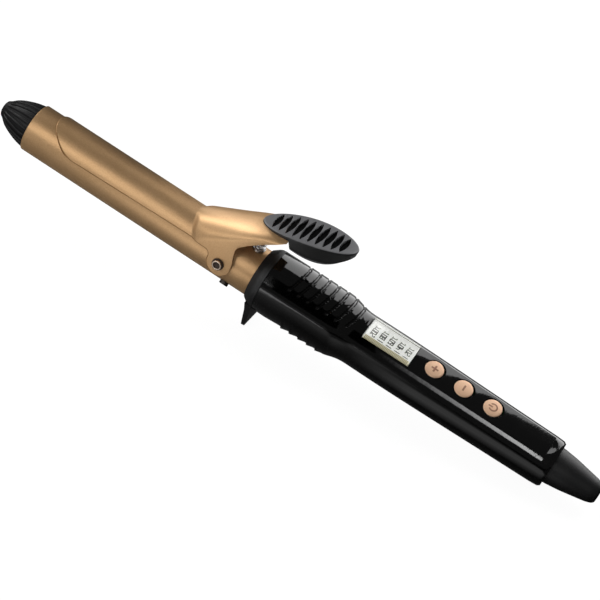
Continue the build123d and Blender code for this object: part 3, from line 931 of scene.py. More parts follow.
    def build_rest(self) -> None:
        """Oval pad with grooves across its face and a deep skirt."""
        a, b = self.rest_half
        theta = np.linspace(0, 2 * math.pi, 400, endpoint=False)
        rows = []
        crown = [(-25.0, -0.9), (0.0, 0.7), (25.0, -0.7)]
        for share in np.linspace(0.0, self.rest_rim, 88):
            u, v = a * share * np.cos(theta), b * share * np.sin(theta)
            rows.append((u, v, cubic(crown, u) - self.groove_depth(u, v)))
        for step in np.linspace(0.0, 1.0, 6)[1:]:
            share = self.rest_rim + (1 - self.rest_rim) * math.sin(step * math.pi / 2)
            u, v = a * share * np.cos(theta), b * share * np.sin(theta)
            rows.append((u, v, cubic(crown, u) - self.rest_ease * (1 - math.cos(step * math.pi / 2))))
        edge_u, edge_v, edge_w = rows[-1]
        floor = np.minimum(self.keel(edge_u), edge_w - 0.6)
        for step in np.linspace(0.0, 1.0, 8)[1:]:
            draw = 1.0 - 0.05 * step - 0.05 * max(0.0, step - 0.8) / 0.2
            rows.append((edge_u * draw, edge_v * draw, edge_w + (floor - edge_w) * step))
        for share in np.linspace(0.9, 0.0, 10)[1:]:
            rows.append((edge_u * share, edge_v * share, self.keel(edge_u * share)))
        points = np.array([np.stack(row, -1) for row in rows])
        slope = math.radians(self.rest_slope)
        face = Matrix.Translation(self.rest_at) @ Matrix.Rotation(-slope, 4, "Y")
        mesh = finished(grid("thumb_rest_pad", points, False, True), HOME @ face, 38.0)
        made = piece("thumb_rest_pad", mesh, REST_NYLON_SHEEN, "thumb_rest", "thumb_rest")
        made.visible_glossy = False
        mesh.materials.append(REST_GROOVE_SHADE.material())
        mesh.materials.append(REST_SKIRT_SHADED.material())
        back = (HOME @ face).inverted()
        spots = np.array([back @ part.center for part in mesh.polygons])
        tilt = np.array([back.to_3x3().normalized() @ part.normal for part in mesh.polygons])[:, 2]
        # Faces deep in a groove take the painted groove shade
        sunk = (self.groove_depth(spots[:, 0], spots[:, 1]) > 0.3) & (spots[:, 2] > -1.8)
        side = np.hypot(spots[:, 0] / a, spots[:, 1] / b) > 0.95
        # Rim faces that turn away from the top take the skirt's painted shade
        surface = np.where(sunk, 1, np.where(side & (tilt < 0.5), 2, 0))
        mesh.polygons.foreach_set("material_index", surface.astype(np.int32))

    @staticmethod
    def keel(u: np.ndarray) -> np.ndarray:
        """Level of the pad's underside: a thin lip over the lever, then a deep skirt."""
        deep = cubic([(-6.2, -6.4), (6.0, -8.4), (17.0, -7.6), (25.0, -4.6)], np.maximum(u, -6.2))
        return -2.3 + (deep + 2.3) * np.clip((u + 7.0) / 0.8, 0.0, 1.0)

    def build_spring(self) -> None:
        """Wound clamp spring, on a mesh of its own."""
        height = self.coil_pitch * self.turns
        mesh = grown("clamp_spring_wire", coil_tree(SPRING_STEEL), {
            "Turns": self.turns, "Radius": self.coil_r, "Height": height, "Wire": self.wire_r},
            bpy.data.meshes.new("spring_base"))
        base = HOME @ Vector(self.spring_at)
        place = Matrix.Translation(base) @ Matrix.Scale(MM, 4) @ Matrix.Translation((0, 0, self.wire_r))
        finished(mesh, place, 60)
        made = piece("clamp_spring_wire", mesh, SPRING_STEEL, "clamp_spring", "clamp_spring")
        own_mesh(made)


@dataclass
class Handle:
    """Collar with its foot, the two grip shells and what shows at the rear."""

    profile: list[tuple[float, float]] = field(default_factory=lambda: [
        (158.5, 16.2), (173.0, 16.35), (193.0, 16.3), (199.5, 15.85), (203.5, 14.75), (207.5, 13.95),
        (213.0, 13.78), (246.0, 13.72), (280.0, 13.2), (315.0, 12.7)])
    wall: float = 1.6
    split_z: float = 3.5
    split_gap: float = 0.02
    grooves: int = 7
    groove_x: float = 173.4
    groove_pitch: float = 5.35
    groove_lean: float = 23.6
    groove_span: float = 53.0
    groove_fade: float = 7.0
    groove_half: float = 0.6
    groove_deep: float = 0.75
    grip_r: float = 16.3
    lip: float = 0.1
    ribs: int = 6
    rib_x: float = 175.4
    rib_pitch: float = 4.87
    rib_sink: float = 0.62
    rib_r: float = 15.95
    rib_drop: float = 1.1
    rib_shift: float = 0.9
    belly_x: float = 158.0
    belly_r: float = 16.7
    belly_drop: float = 0.35
    panel_start: tuple[float, float] = (204.0, 212.0)
    panel_step: float = 3.0
    panel_reach: float = 0.8
    panel_crown_r: float = 35.0
    key_dish: float = 0.32
    dish_spread: float = 45.0
    key_hole: float = 5.5
    hole_shift: tuple[float, float] = (0.3, 0.45)
    window_gap: float = 0.25
    cut_z: tuple[float, float] = (6.0, 20.0)

    def groove_relief(self, x: np.ndarray, angle: np.ndarray) -> np.ndarray:
        """Depth of the grip grooves, with a small lip behind each.

        Args:
            x: stations.
            angle: radians from the top of the grip.

        Returns:
            Change of radius, negative in a groove.
        """
        back = self.grip_r * (1 - np.cos(angle)) * math.tan(math.radians(self.groove_lean))
        fade = 1 - rise(self.groove_span - self.groove_fade, self.groove_span, np.degrees(np.abs(angle)))
        relief = np.zeros_like(x)
        for index in range(self.grooves):
            off = x - (self.groove_x + self.groove_pitch * index) + back
            cut = np.exp(-(off / self.groove_half) ** 4) * -self.groove_deep
            lip = self.lip * np.exp(-((off - 1.0) / 0.4) ** 2)
            relief += (cut + lip) * fade
        return relief

    def underside(self, x: np.ndarray, angle: np.ndarray, radius: np.ndarray) -> np.ndarray:
        """Radius of the sunk underside of the grip with the saw-toothed ribs across it.

        Args:
            x: stations.
            angle: radians from the bottom of the grip.
            radius: plain radius of the handle.

        Returns:
            The radius with sink and ribs.
        """
        down, side = np.cos(angle), np.sin(angle)
        share = np.clip((x - self.belly_x) / (self.rib_x - self.belly_x - 1.0), 0.0, 1.0)
        sink = self.rib_sink * share
        belly = self.belly_r - self.belly_drop * share
        made = np.minimum(radius, np.sqrt(belly ** 2 - (sink * side) ** 2) - sink * down)
        for index in range(self.ribs):
            step = (x - self.rib_x) / self.rib_pitch - index
            size = self.rib_r - self.rib_drop * step - (self.rib_drop if index == self.ribs - 1 else 0.0)
            rib = self.rib_shift * down + np.sqrt(size ** 2 - (self.rib_shift * side) ** 2)
            made = np.where((step >= 0) & (step <= 1) & (down > 0), np.maximum(made, rib), made)
        return made

    def set_panel(self, x: np.ndarray, angle: np.ndarray, radius: np.ndarray) -> np.ndarray:
        """Radius of the upper shell with the slightly crowned key panel set into it, dished round each key.

        Args:
            x: stations.
            angle: radians from the top of the handle.
            radius: radius without the panel.

        Returns:
            The radius with the panel.
        """
        turn = angle - PANEL_TURN
        across = radius * np.sin(turn)
        start = self.panel_step * (1 - rise(*self.panel_start, x))
        level = panel_height(x) + start - across ** 2 / (2 * self.panel_crown_r)
        for key in KEYS.values():
            level = level - self.key_dish * np.exp(-((x - key) ** 2 + across ** 2) / self.dish_spread)
        flat = level / np.maximum(np.cos(turn), 0.3)
        return np.where(np.abs(turn) < self.panel_reach, np.minimum(radius, flat), radius)

    def skin(self, upper: bool) -> bpy.types.Mesh:
        """One half of the handle, as a wall with thickness.

        Args:
            upper: the half with the panel, not the one underneath.

        Returns:
            A closed mesh on the iron's axis.
        """
        fronts = self.rib_x + self.rib_pitch * np.arange(self.ribs + 1)
        x = np.concatenate([
            np.arange(158.55, 212.0, 0.33), np.arange(212.0, 314.9, 0.9), [315.04], fronts - 0.04, fronts])
        x = np.unique(np.round(x, 4))
        bare = cubic(self.profile, x)
        limit = np.arccos((self.split_z + (self.split_gap if upper else -self.split_gap)) / bare)
        span = np.linspace(-1, 1, 281 if upper else 331)
        angle = (limit if upper else math.pi - limit)[:, None] * span[None, :]
        station = np.repeat(x[:, None], len(span), 1)
        radius = np.repeat(bare[:, None], len(span), 1)
        if upper:
            radius = self.set_panel(station, angle, radius + self.groove_relief(station, angle))
        else:
            radius = self.underside(station, angle, radius)
        up = 1 if upper else -1
        points = np.stack([station, -up * radius * np.sin(angle), up * radius * np.cos(angle)], -1)
        inner = points.copy()
        inner[..., 1:] *= ((bare - self.wall) / bare)[:, None, None]
        loop = np.concatenate([points, inner[:, ::-1]], 1)
        mesh = grid("skin", loop, False, True)
        count = loop.shape[1]
        work = bmesh.new()
        work.from_mesh(mesh)
        work.verts.ensure_lookup_table()
        for first in (0, (len(x) - 1) * count):
            for j in range(count // 2 - 1):
                ring = (j, j + 1, count - 2 - j, count - 1 - j)
                work.faces.new([work.verts[first + k] for k in ring])
        bmesh.ops.recalc_face_normals(work, faces=work.faces)
        work.to_mesh(mesh)
        work.free()
        return mesh

    @staticmethod
    def cut(made: bpy.types.Object, cutter: bpy.types.Mesh) -> None:
        """Cut a shape out of a piece for good.

        Args:
            made: the piece.
            cutter: the shape, in place.
        """
        tool = placed("cutter", cutter)
        job = made.modifiers.new("cut", "BOOLEAN")
        job.operation = "DIFFERENCE"
        job.solver = "EXACT"
        job.object = tool
        seen = made.evaluated_get(bpy.context.evaluated_depsgraph_get())
        result = bpy.data.meshes.new_from_object(seen)
        made.modifiers.clear()
        bpy.data.objects.remove(tool)
        made.data = result

    def cutters(self) -> list[bpy.types.Mesh]:
        """Openings of the panel.

        Returns:
            Shapes of the window's opening and of the keys' holes, in place.
        """
        x, length, width = WINDOW
        gap = self.window_gap
        shapes = [slab("opening", (x - length / 2 - gap, x + length / 2 + gap),
                       (-width / 2 - gap, width / 2 + gap), self.cut_z)]
        (low, high), (along, across) = self.cut_z, self.hole_shift
        for station in KEYS.values():
            outline = [(low, 0.0), (low, self.key_hole), (high, self.key_hole), (high, 0.0)]
            hole = lathe("hole", outline, False, 72)
            spot = Matrix.Translation((station + along, across, 0))
            hole.transform(spot @ Matrix.Rotation(-math.pi / 2, 4, "Y"))
            shapes.append(hole)
        return [finished(shape, PANEL) for shape in shapes]

    def build_shells(self) -> None:
        """Upper and lower grip shells with grooves, panel and openings."""
        upper = piece("grip_shell_upper", finished(self.skin(True), HOME), GLOSS_ABS,
                      "handle_upper_shell", "handle_upper_shell")
        for shape in self.cutters():
            self.cut(upper, shape)
        upper.data.name = "grip_shell_upper"
        upper.data.shade_smooth()
        upper.data.set_sharp_from_angle(angle=math.radians(35))
        piece("grip_shell_lower", finished(self.skin(False), HOME), GLOSS_ABS,
              "handle_lower_shell", "handle_lower_shell")

    def build(self) -> None:
        """Build and dress the handle."""
        self.build_shells()
        from_frame("front_collar", "collar_ring", COLLAR_NYLON, 30.0, 0.3)
        from_frame("stand_foot", "stand_leg", COLLAR_NYLON, 30.0, 0.2)
        dress("shell_screws", SCREW_STEEL)


@dataclass
class Controls:
    """Display and keys on the panel."""

    lens_z: tuple[float, float] = (10.65, 13.25)
    lens_ease: float = 0.15
    film_z: float = 10.6
    guide_inset: float = 0.5
    guide_y: tuple[float, float] = (-6.3, -4.7)
    guide_z: tuple[float, float] = (10.7, 12.7)
    ticks: int = 32
    tick_pitch: float = 0.76
    tick_wide: float = 0.28
    key_r: float = 4.75
    key_deep: float = 4.45
    key_stand: float = 0.35
    key_rim: float = 0.45
    plated_deep: float = 1.3
    flange_r: float = 5.7
    flange_high: float = 0.9
    crown: float = 0.35
    dome_r: float = 30.0
    print_lift: float = 0.03
    print_layer: float = 0.008
    readings: tuple[str, ...] = ("200", "180", "160", "140", "120")
    reading_pitch: float = 4.75
    reading_y: float = -3.0
    digit: tuple[float, float] = (2.6, 1.15)
    digit_step: float = 1.7
    degree: tuple[float, float] = (0.8, 0.5)
    degree_high: float = 1.6
    unit: tuple[float, float] = (2.2, 1.0)
    stroke: float = 0.42

    SEGMENTS: ClassVar[dict[str, str]] = {
        "0": "abcdef", "1": "fe", "2": "abged", "4": "fgbc", "6": "afgedc", "8": "abcdefg",
        "C": "afed", "o": "abfg"}

    def key_top(self, x: float) -> float:
        """Height of a key's rim over the axis."""
        return panel_height(x) + self.key_stand

    def dome(self, x: float, dx: np.ndarray, y: np.ndarray) -> np.ndarray:
        """Height of a key's domed face."""
        return self.key_top(x) + self.crown - (dx ** 2 + y ** 2) / (2 * self.dome_r)

    def build_key(self, name: str, x: float) -> None:
        """Domed round key with an eased rim and a dark flange under the panel.

        Args:
            name: what the key is for.
            x: its station.
        """
        top = self.key_top(x)
        low = top - self.key_deep
        rim, shoulder = self.key_rim, low + self.flange_high
        outline = [(low, 0.0), (low, self.flange_r), (shoulder, self.flange_r), (shoulder, self.key_r)]
        for step in np.linspace(0.0, 1.0, 7):
            swing = step * math.pi / 2
            outline.append((top - rim + rim * math.sin(swing), self.key_r - rim + rim * math.cos(swing)))
        for r in np.linspace(self.key_r - 0.6, 0.0, 12):
            outline.append((top + self.crown - r * r / (2 * self.dome_r), r))
        mesh = lathe("key_" + name, outline, False, 96)
        place = Matrix.Translation((x, 0, 0)) @ Matrix.Rotation(-math.pi / 2, 4, "Y")
        finished(mesh, PANEL @ place)
        made = piece("key_" + name, mesh, ROSE_PLATE, "button_" + name, "button_" + name)
        made.data.materials.append(DARK_PLASTIC.material())
        back = PANEL.inverted()
        under = [int((back @ part.center).z < top - self.plated_deep) for part in mesh.polygons]
        made.data.polygons.foreach_set("material_index", under)

    @staticmethod
    def bar(start: tuple[float, float], end: tuple[float, float], width: float) -> np.ndarray:
        """Straight strip of a printed sign.

        Args:
            start: its first end as (dx, y) from the key's centre.
            end: its last end.
            width: its width.

        Returns:
            Rows of points as (dx, y).
        """
        along = np.linspace(0, 1, 9)[:, None]
        a, b = np.array(start), np.array(end)
        side = np.array([a[1] - b[1], b[0] - a[0]]) / np.linalg.norm(b - a) * width / 2
        line = a + (b - a) * along
        return np.stack([line - side, line - side / 3, line + side / 3, line + side], 1)

    @staticmethod
    def arc(radius: float, start: float, end: float, width: float) -> np.ndarray:
        """Curved strip of a printed sign, about the key's centre.

        Args:
            radius: radius of its middle line.
            start: first angle, in degrees from the side of the tip.
            end: last angle.
            width: its width.

        Returns:
            Rows of points as (dx, y).
        """
        turn = np.radians(np.linspace(start, end, 37))[:, None]
        ring = radius + np.linspace(-width / 2, width / 2, 4)[None, :]
        return np.stack([-ring * np.cos(turn), ring * np.sin(turn)], -1)

    def build_sign(self, name: str, x: float) -> None:
        """Printed sign on a key's dome.

        Args:
            name: what the key is for.
            x: its station.
        """
        strips = {
            "plus": [self.bar((-1.9, 0), (1.9, 0), 0.95), self.bar((0, -1.9), (0, 1.9), 0.95)],
            "minus": [self.bar((0, -1.7), (0, 1.7), 0.9)],
            "power": [self.arc(1.95, 38, 322, 0.75), self.bar((-2.6, 0), (-0.3, 0), 0.75)],
        }[name]
        work = bmesh.new()
        for layer, strip in enumerate(strips):
            dx, y = strip[..., 0], strip[..., 1]
            lift = self.print_lift + self.print_layer * layer
            points = np.stack([x + dx, y, self.dome(x, dx, y) + lift], -1)
            work.from_mesh(grid("strip", points))
        mesh = bpy.data.meshes.new("sign")
        work.to_mesh(mesh)
        work.free()
        finished(mesh, PANEL, 40)
        self.face_up(mesh)
        piece("key_sign_" + name, mesh, SIGN_INK, "button_" + name)

    @staticmethod
    def face_up(mesh: bpy.types.Mesh) -> None:
        """Turn the faces of a flat printed piece away from the panel.

        Args:
            mesh: the piece's mesh, in place.
        """
        up = PANEL.to_3x3() @ Vector((0, 0, 1))
        work = bmesh.new()
        work.from_mesh(mesh)
        wrong = [face for face in work.faces if face.normal.dot(up) < 0]
        bmesh.ops.reverse_faces(work, faces=wrong)
        work.to_mesh(mesh)
        work.free()

    def digit_quads(
        self, sign: str, x: float, y: float, tall: float, wide: float
    ) -> list[list[tuple[float, float]]]:
        """Outlines of the lit segments of one sign on the film.

        Args:
            sign: the digit or letter.
            x: station of its foot.
            y: its left edge.
            tall: its height towards the tip.
            wide: its width.

        Returns:
            Four-point outlines as (x, y).
        """
        w = self.stroke * wide
        half = tall / 2
        runs = {
            "a": ((tall, 0), (tall, wide)), "b": ((tall, wide), (half, wide)), "c": ((half, wide), (0, wide)),
            "d": ((0, 0), (0, wide)), "e": ((half, 0), (0, 0)), "f": ((tall, 0), (half, 0)),
            "g": ((half, 0), (half, wide)),
        }
        quads = []
        for mark in self.SEGMENTS[sign]:
            (h0, s0), (h1, s1) = runs[mark]
            if h0 == h1:
                quads.append([(x - h0 - w / 2, y + s0 + w / 2), (x - h0 + w / 2, y + s0 + w / 2),
                              (x - h0 + w / 2, y + s1 - w / 2), (x - h0 - w / 2, y + s1 - w / 2)])
            else:
                upper = x - h0 - (w / 2 if h0 > half else 0)
                lower = x - h1 + (w / 2 if h1 < half else 0)
                quads.append([(upper, y + s0 - w / 2), (upper, y + s0 + w / 2),
                              (lower, y + s1 + w / 2), (lower, y + s1 - w / 2)])
        return quads

    def build_readings(self) -> None:
        """Five temperatures on the film, the last one faint, with small faint units behind them."""
        x0 = WINDOW[0] - WINDOW[1] / 2
        units = []
        for index, reading in enumerate(self.readings):
            foot = x0 + self.reading_pitch + index * self.reading_pitch
            place = self.reading_y
            outlines = []
            for sign in reading:
                outlines += self.digit_quads(sign, foot, place, *self.digit)
                place += self.digit_step
            units += self.digit_quads("o", foot - self.degree_high, place - 0.1, *self.degree)
            units += self.digit_quads("C", foot, place + 0.8, *self.unit)
            ink = LCD_DIM if reading == self.readings[-1] else LCD_INK
            self.print_film("reading_" + reading, outlines, ink)
        self.print_film("reading_units", units, LCD_DIM)

    def print_film(self, name: str, outlines: list[list[tuple[float, float]]], ink: Finish) -> None:
        """Lay printed shapes on the film.

        Args:
            name: the piece's name.
            outlines: four-point shapes as (x, y).
            ink: their surface.
        """
        work = bmesh.new()
        for outline in outlines:
            work.faces.new([work.verts.new((x, y, self.film_z + self.print_lift)) for x, y in outline])
        mesh = bpy.data.meshes.new(name)
        work.to_mesh(mesh)
        work.free()
        finished(mesh, PANEL)
        self.face_up(mesh)
        piece(name, mesh, ink, "lcd_panel")

    def build_display(self) -> None:
        """Clear lens over the film, with the light guide along its near side."""
        x, length, width = WINDOW
        start, end = x - length / 2, x + length / 2
        lens = finished(slab("lens", (start, end), (-width / 2, width / 2), self.lens_z), PANEL, 30)
        made = piece("display_lens", lens, LENS_ACRYLIC, "display_window", "display_window")
        ease = made.modifiers.new("ease", "BEVEL")
        ease.width = self.lens_ease * MM
        ease.segments = 2
        dress("lcd_panel", LCD_FILM)
        dress("lcd_frame", DARK_PLASTIC)
        guide = slab("guide", (start + self.guide_inset, end - self.guide_inset), self.guide_y, self.guide_z)
        # The guide's glow is painted light, not a lamp
        piece("light_guide", finished(guide, PANEL, 30), LIGHT_GUIDE, "lcd_panel")
        (near, far), (low, high) = self.guide_y, self.guide_z
        tick = slab("tick", (0, self.tick_wide), (near - 0.06, far + 0.02), (low + 0.2, high + 0.04))
        tick.transform(Matrix.Translation((start + 0.9, 0, 0)))
        ticks = grown("light_guide_ticks", row_tree(GUIDE_MARK), {
            "Count": self.ticks, "Pitch": self.tick_pitch}, tick)
        piece("light_guide_ticks", finished(ticks, PANEL, 30), GUIDE_MARK, "lcd_panel")

    def build(self) -> None:
        """Build and dress the controls."""
        self.build_display()
        self.build_readings()
        for name, x in KEYS.items():
            self.build_key(name, x)
            self.build_sign(name, x)
        dress("main_board", LAMINATE)
        dress("triac", DARK_PLASTIC)
        dress("capacitor", CAN_SLEEVE)
        dress("tact_switches", DARK_PLASTIC)


@dataclass
class CordEnd:
    """Rear ring, turning boot and the swivel behind it."""

    bore: float = 3.2

    def build(self) -> None:
        """Build and dress the cord end."""
        from_frame("end_ring", "rear_ring", GLOSS_ABS, 30.0, 0.12)
        outline = rounded([
            (315.4, self.bore, 0), (315.4, 10.9, 0.1), (317.2, 10.9, 0.1), (317.2, 9.62, 0.1),
            (321.2, 9.62, 1.5), (329.0, 8.75, 3), (337.0, 7.3, 3), (342.6, 6.3, 2), (345.3, 5.3, 1.2),
            (346.3, 4.2, 0.5), (346.3, self.bore, 0.3), (344.0, self.bore, 0)], 5)
        mesh = finished(lathe("cord_boot", outline, True, 112), HOME)
        piece("cord_boot", mesh, BOOT_RUBBER, "swivel_boot", "swivel_boot")
        dress("swivel_retainer", SCREW_STEEL)
        dress("slip_rings", BRASS)
        dress("brush_holder", DARK_PLASTIC)


@dataclass
class Lamp:
    """One soft panel of light, given by where it stands and how bright its face is.

    The fall is a power: above zero the face dims from its +X end to its -X end.
    """

    name: str
    toward: tuple[float, float, float]
    distance: float
    size: tuple[float, float]
    glow: float
    aim: tuple[float, float, float] = (0.0, 0.0, 0.03)
    fall: float = 0.0

    def build(self) -> None:
        """Hang the lamp so that it faces its aim."""
        data = bpy.data.lights.new(self.name, "AREA")
        data.shape = "RECTANGLE"
        data.size, data.size_y = self.size
        # The face of such a lamp glows with a quarter of its power on each square metre
        data.energy = 4 * self.size[0] * self.size[1] * self.glow
        if self.fall:
            tree = empty_tree(data)
            face = add(tree, "ShaderNodeNewGeometry")
            spot = add(tree, "ShaderNodeSeparateXYZ", {}, {0: face.outputs["Parametric"]})
            share = add(tree, "ShaderNodeMath", {"operation": "POWER"}, {0: spot.outputs[0], 1: self.fall})
            light = add(tree, "ShaderNodeEmission", {}, {"Strength": share.outputs[0]})
            add(tree, "ShaderNodeOutputLight", {}, {"Surface": light.outputs[0]})
        lamp = placed(self.name, data)
        away = Vector(self.toward).normalized()
        side = Vector((1, 0, 0)) - away * away.x
        side.normalize()
        lamp.matrix_world = Matrix.Translation(Vector(self.aim) + away * self.distance) @ Matrix((
            side, away.cross(side), away)).transposed().to_4x4()
        lamp.visible_camera = False


@dataclass
class Card:
    """Lit card, or dark flag that also holds light back, which shows in the coats and the gloss.

    Its outline is given as (x, degrees from the top), as the iron sees it.
    """

    name: str
    outline: list[tuple[float, float]]
    lean: float
    distance: float
    glow: float

    AXIS_HIGH: ClassVar[float] = 0.03
    FLAG_GLOW: ClassVar[float] = 0.2

    def build(self) -> None:
        """Stand the card so that it faces the iron."""
        points = []
        for x, polar in self.outline:
            reach = self.distance / math.cos(math.radians(polar - self.lean))
            turn = math.radians(polar)
            points.append((x, reach * math.sin(turn), self.AXIS_HIGH + reach * math.cos(turn)))
        mesh = bpy.data.meshes.new(self.name)
        mesh.from_pydata(points, [], [list(range(len(points)))])
        made = placed(self.name, mesh)
        skin = bpy.data.materials.new(self.name)
        tree = empty_tree(skin)
        light = add(tree, "ShaderNodeEmission", {}, {"Strength": self.glow})
        add(tree, "ShaderNodeOutputMaterial", {}, {"Surface": light.outputs[0]})
        mesh.materials.append(skin)
        made.visible_camera = False
        made.visible_shadow = self.glow < self.FLAG_GLOW


@dataclass
class Studio:
    """Floor, lamps, surroundings and camera."""

    aim: tuple[float, float, float] = (0.00257, 0.0, 0.02438)
    right: tuple[float, float, float] = (0.8593, 0.4107, 0.3046)
    up: tuple[float, float, float] = (-0.4799, 0.4419, 0.7579)
    back: tuple[float, float, float] = (0.1767, -0.7975, 0.5769)
    distance: float = 1.07278
    lens: float = 133.115
    sensor: float = 36.0
    sky_level: float = 0.1
    floor_reach: float = 8.0
    floor_white: float = 1.1
    floor_lit: float = 0.86
    # Painted light and shade of the floor in the gloss, as (from, to, level at from, level at to) along X,
    # across Y or away from the axis
    floor_levels: dict[str, tuple[float, float, float, float]] = field(default_factory=lambda: {
        "under": (-0.035, 0.005, 0.12, 0.05),
        "barrel": (-0.15, -0.06, 0.5, 2.6),
        "near_side": (-0.02, 0.02, 1.0, 0.06),
        "grip": (-0.055, -0.03, 0.0, 1.0),
        "rear": (0.03, 0.07, 0.0, 1.0),
        "band_inner": (0.018, 0.036, 0.03, 0.72),
        "band_outer": (0.07, 0.115, 1.0, 0.18),
        "past_rear": (0.0, 0.04, 1.0, 0.1),
    })
    grip_level: float = 0.5
    iron_shade: tuple[float, float] = (0.03, 0.13)
    rear_line: tuple[float, float] = (4.1, -0.684)
    lamps: list[Lamp] = field(default_factory=lambda: [
        Lamp("lamp_near_strip", (0.117, -0.88, 0.50), 0.9, (0.2, 0.24), 9.0, (0.0, 0.0, 0.03), 2.0),
        Lamp("lamp_front", (-0.38, -0.72, 0.53), 0.96, (0.46, 0.55), 5.4, (0.0, 0.0, 0.03), 2.6),
        Lamp("lamp_far_left", (-0.66, 0.68, 0.30), 0.9, (0.35, 0.35), 3.0, (-0.03, 0.0, 0.05)),
        Lamp("lamp_lever", (-0.72, 0.33, 0.60), 0.9, (0.3, 0.4), 5.0, (-0.03, 0.0, 0.05)),
        Lamp("lamp_flank", (-0.58, -0.74, 0.32), 0.9, (0.22, 0.3), 3.0, (-0.03, 0.0, 0.05)),
        Lamp("lamp_left_end", (-0.86, -0.12, 0.46), 0.95, (0.5, 1.2), 0.9, (-0.03, 0.0, 0.05)),
    ])
    cards: list[Card] = field(default_factory=lambda: [
        Card("card_over_handle", [(-0.14, 89.0), (-0.13, 15.0), (-0.01, 15.0), (0.06, 19.5), (0.12, 24.0),
                                  (0.19, 32.0), (0.26, 40.0), (0.32, 19.0), (0.60, 19.0), (0.60, 89.0)],
             60.0, 0.9, 2.9),
        Card("card_near_low", [(-0.45, -89.5), (-0.45, -86.0), (-0.03, -86.0), (0.05, -89.5)],
             -85.0, 0.9, 0.3),
        Card("flag_neck", [(-0.016, -42.0), (0.046, -42.0), (0.046, -76.0), (-0.016, -76.0)],
             -60.0, 0.055, 0.0),
        Card("flag_far", [(-0.19, 84.0), (-0.19, 30.0), (-0.054, 30.0), (-0.054, 84.0)], 90.0, 0.2, 0.05),
        Card("flag_barrel", [(-0.20, 100.0), (-0.20, 17.0), (-0.14, 17.0), (-0.125, 25.0), (-0.077, 25.0),
                             (-0.077, 100.0)], 90.0, 0.022, 0.1),
    ])

    def build_camera(self) -> None:
        """Camera at the fitted place."""
        data = bpy.data.cameras.new("camera")
        data.lens = self.lens
        data.sensor_width = data.sensor_height = self.sensor
        data.clip_end = 50.0
        made = placed("camera", data)
        turn = Matrix((self.right, self.up, self.back)).transposed()
        place = Vector(self.aim) + Vector(self.back) * self.distance
        made.matrix_world = Matrix.Translation(place) @ turn.to_4x4()
        bpy.context.scene.camera = made

    def floor_in_gloss(self, tree: bpy.types.NodeTree) -> bpy.types.NodeSocket:
        """Level of the floor as the coats and the gloss see it: a painted shadow under the iron and painted
        light beside it.

        Args:
            tree: the floor's node tree.

        Returns:
            The socket that holds the level.
        """
        place = add(tree, "ShaderNodeTexCoord")
        spot = add(tree, "ShaderNodeSeparateXYZ", {}, {0: place.outputs["Object"]})
        x, y = spot.outputs["X"], spot.outputs["Y"]
        away = add(tree, "ShaderNodeMath", {"operation": "ABSOLUTE"}, {0: y}).outputs[0]
        slant, offset = self.rear_line
        line = add(tree, "ShaderNodeMath", {"operation": "MULTIPLY_ADD"}, {0: x, 1: slant, 2: offset})
        past = add(tree, "ShaderNodeMath", {"operation": "ADD"}, {0: line.outputs[0], 1: away}).outputs[0]
        sources = {"under": x, "barrel": x, "near_side": y, "grip": x, "rear": x, "band_inner": away,
                   "band_outer": away, "past_rear": past}
        level = {}
        for name, source in sources.items():
            start, end, first, last = self.floor_levels[name]
            ramp = add(tree, "ShaderNodeMapRange", {}, {0: source, 1: start, 2: end, 3: first, 4: last})
            level[name] = ramp.outputs[0]
        barrel = add(tree, "ShaderNodeMath", {"operation": "MULTIPLY"}, {
            0: level["barrel"], 1: level["near_side"]})
        wide = add(tree, "ShaderNodeMix", {"data_type": "FLOAT"}, {
            0: level["grip"], 2: barrel.outputs[0], 3: self.grip_level})
        start, end = self.iron_shade
        front = add(tree, "ShaderNodeMapRange", {}, {
            0: away, 1: start, 2: end, 3: level["under"], 4: wide.outputs[0]})
        band = add(tree, "ShaderNodeMath", {"operation": "MULTIPLY"}, {
            0: level["band_inner"], 1: level["band_outer"]})
        both = add(tree, "ShaderNodeMix", {"data_type": "FLOAT"}, {
            0: level["rear"], 2: front.outputs[0], 3: band.outputs[0]})
        dim = add(tree, "ShaderNodeMath", {"operation": "MULTIPLY"}, {
            0: both.outputs[0], 1: level["past_rear"]})
        return dim.outputs[0]

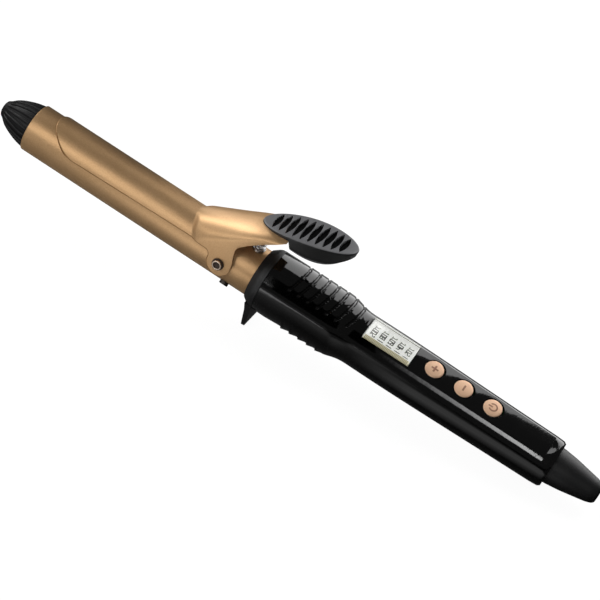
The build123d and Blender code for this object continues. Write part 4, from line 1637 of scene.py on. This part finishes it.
    def build_floor(self) -> None:
        """Pale floor that stays white to the eye and keeps a soft shadow."""
        mesh = bpy.data.meshes.new("floor")
        reach = self.floor_reach
        mesh.from_pydata([(-reach, -reach, 0), (reach, -reach, 0), (reach, reach, 0), (-reach, reach, 0)], [],
                         [(0, 1, 2, 3)])
        made = placed("floor", mesh)
        skin = bpy.data.materials.new("paper_floor_white")
        tree = empty_tree(skin)
        path = add(tree, "ShaderNodeLightPath")
        glossy = path.outputs["Is Glossy Ray"]
        level = add(tree, "ShaderNodeMix", {"data_type": "FLOAT"}, {
            0: glossy, 2: self.floor_white, 3: self.floor_in_gloss(tree)})
        seen = add(tree, "ShaderNodeMath", {"operation": "MAXIMUM"}, {
            0: path.outputs["Is Camera Ray"], 1: path.outputs["Is Transmission Ray"]})
        lit = add(tree, "ShaderNodeMath", {"operation": "MULTIPLY"}, {0: seen.outputs[0], 1: self.floor_lit})
        share = add(tree, "ShaderNodeMath", {"operation": "MAXIMUM"}, {0: lit.outputs[0], 1: glossy})
        paper = add(tree, "ShaderNodeBsdfDiffuse", {}, {"Color": linear("#F2F2F2")})
        white = add(tree, "ShaderNodeEmission", {}, {"Color": (1, 1, 1, 1), "Strength": level.outputs[0]})
        both = add(tree, "ShaderNodeMixShader", {}, {
            0: share.outputs[0], 1: paper.outputs[0], 2: white.outputs[0]})
        add(tree, "ShaderNodeOutputMaterial", {}, {"Surface": both.outputs[0]})
        mesh.materials.append(skin)

    def build_world(self) -> None:
        """Even, low surroundings."""
        world = bpy.data.worlds.new("studio")
        tree = empty_tree(world)
        sky = add(tree, "ShaderNodeBackground", {}, {"Color": linear("#FFFFFF"), "Strength": self.sky_level})
        add(tree, "ShaderNodeOutputWorld", {}, {"Surface": sky.outputs[0]})
        bpy.context.scene.world = world

    def build(self) -> None:
        """Set the stage."""
        bpy.context.scene.view_settings.view_transform = "Standard"
        self.build_world()
        self.build_floor()
        self.build_camera()
        for light in (*self.lamps, *self.cards):
            light.build()


def main() -> None:
    """Build every sub-assembly and set the stage."""
    logging.basicConfig(level=logging.INFO, format="%(name)s %(message)s")
    for assembly in (HotEnd(), ClampArm(), Handle(), Controls(), CordEnd()):
        LOG.info("building %s", type(assembly).__name__)
        assembly.build()
    Studio().build()


if __name__ == "__main__":
    main()
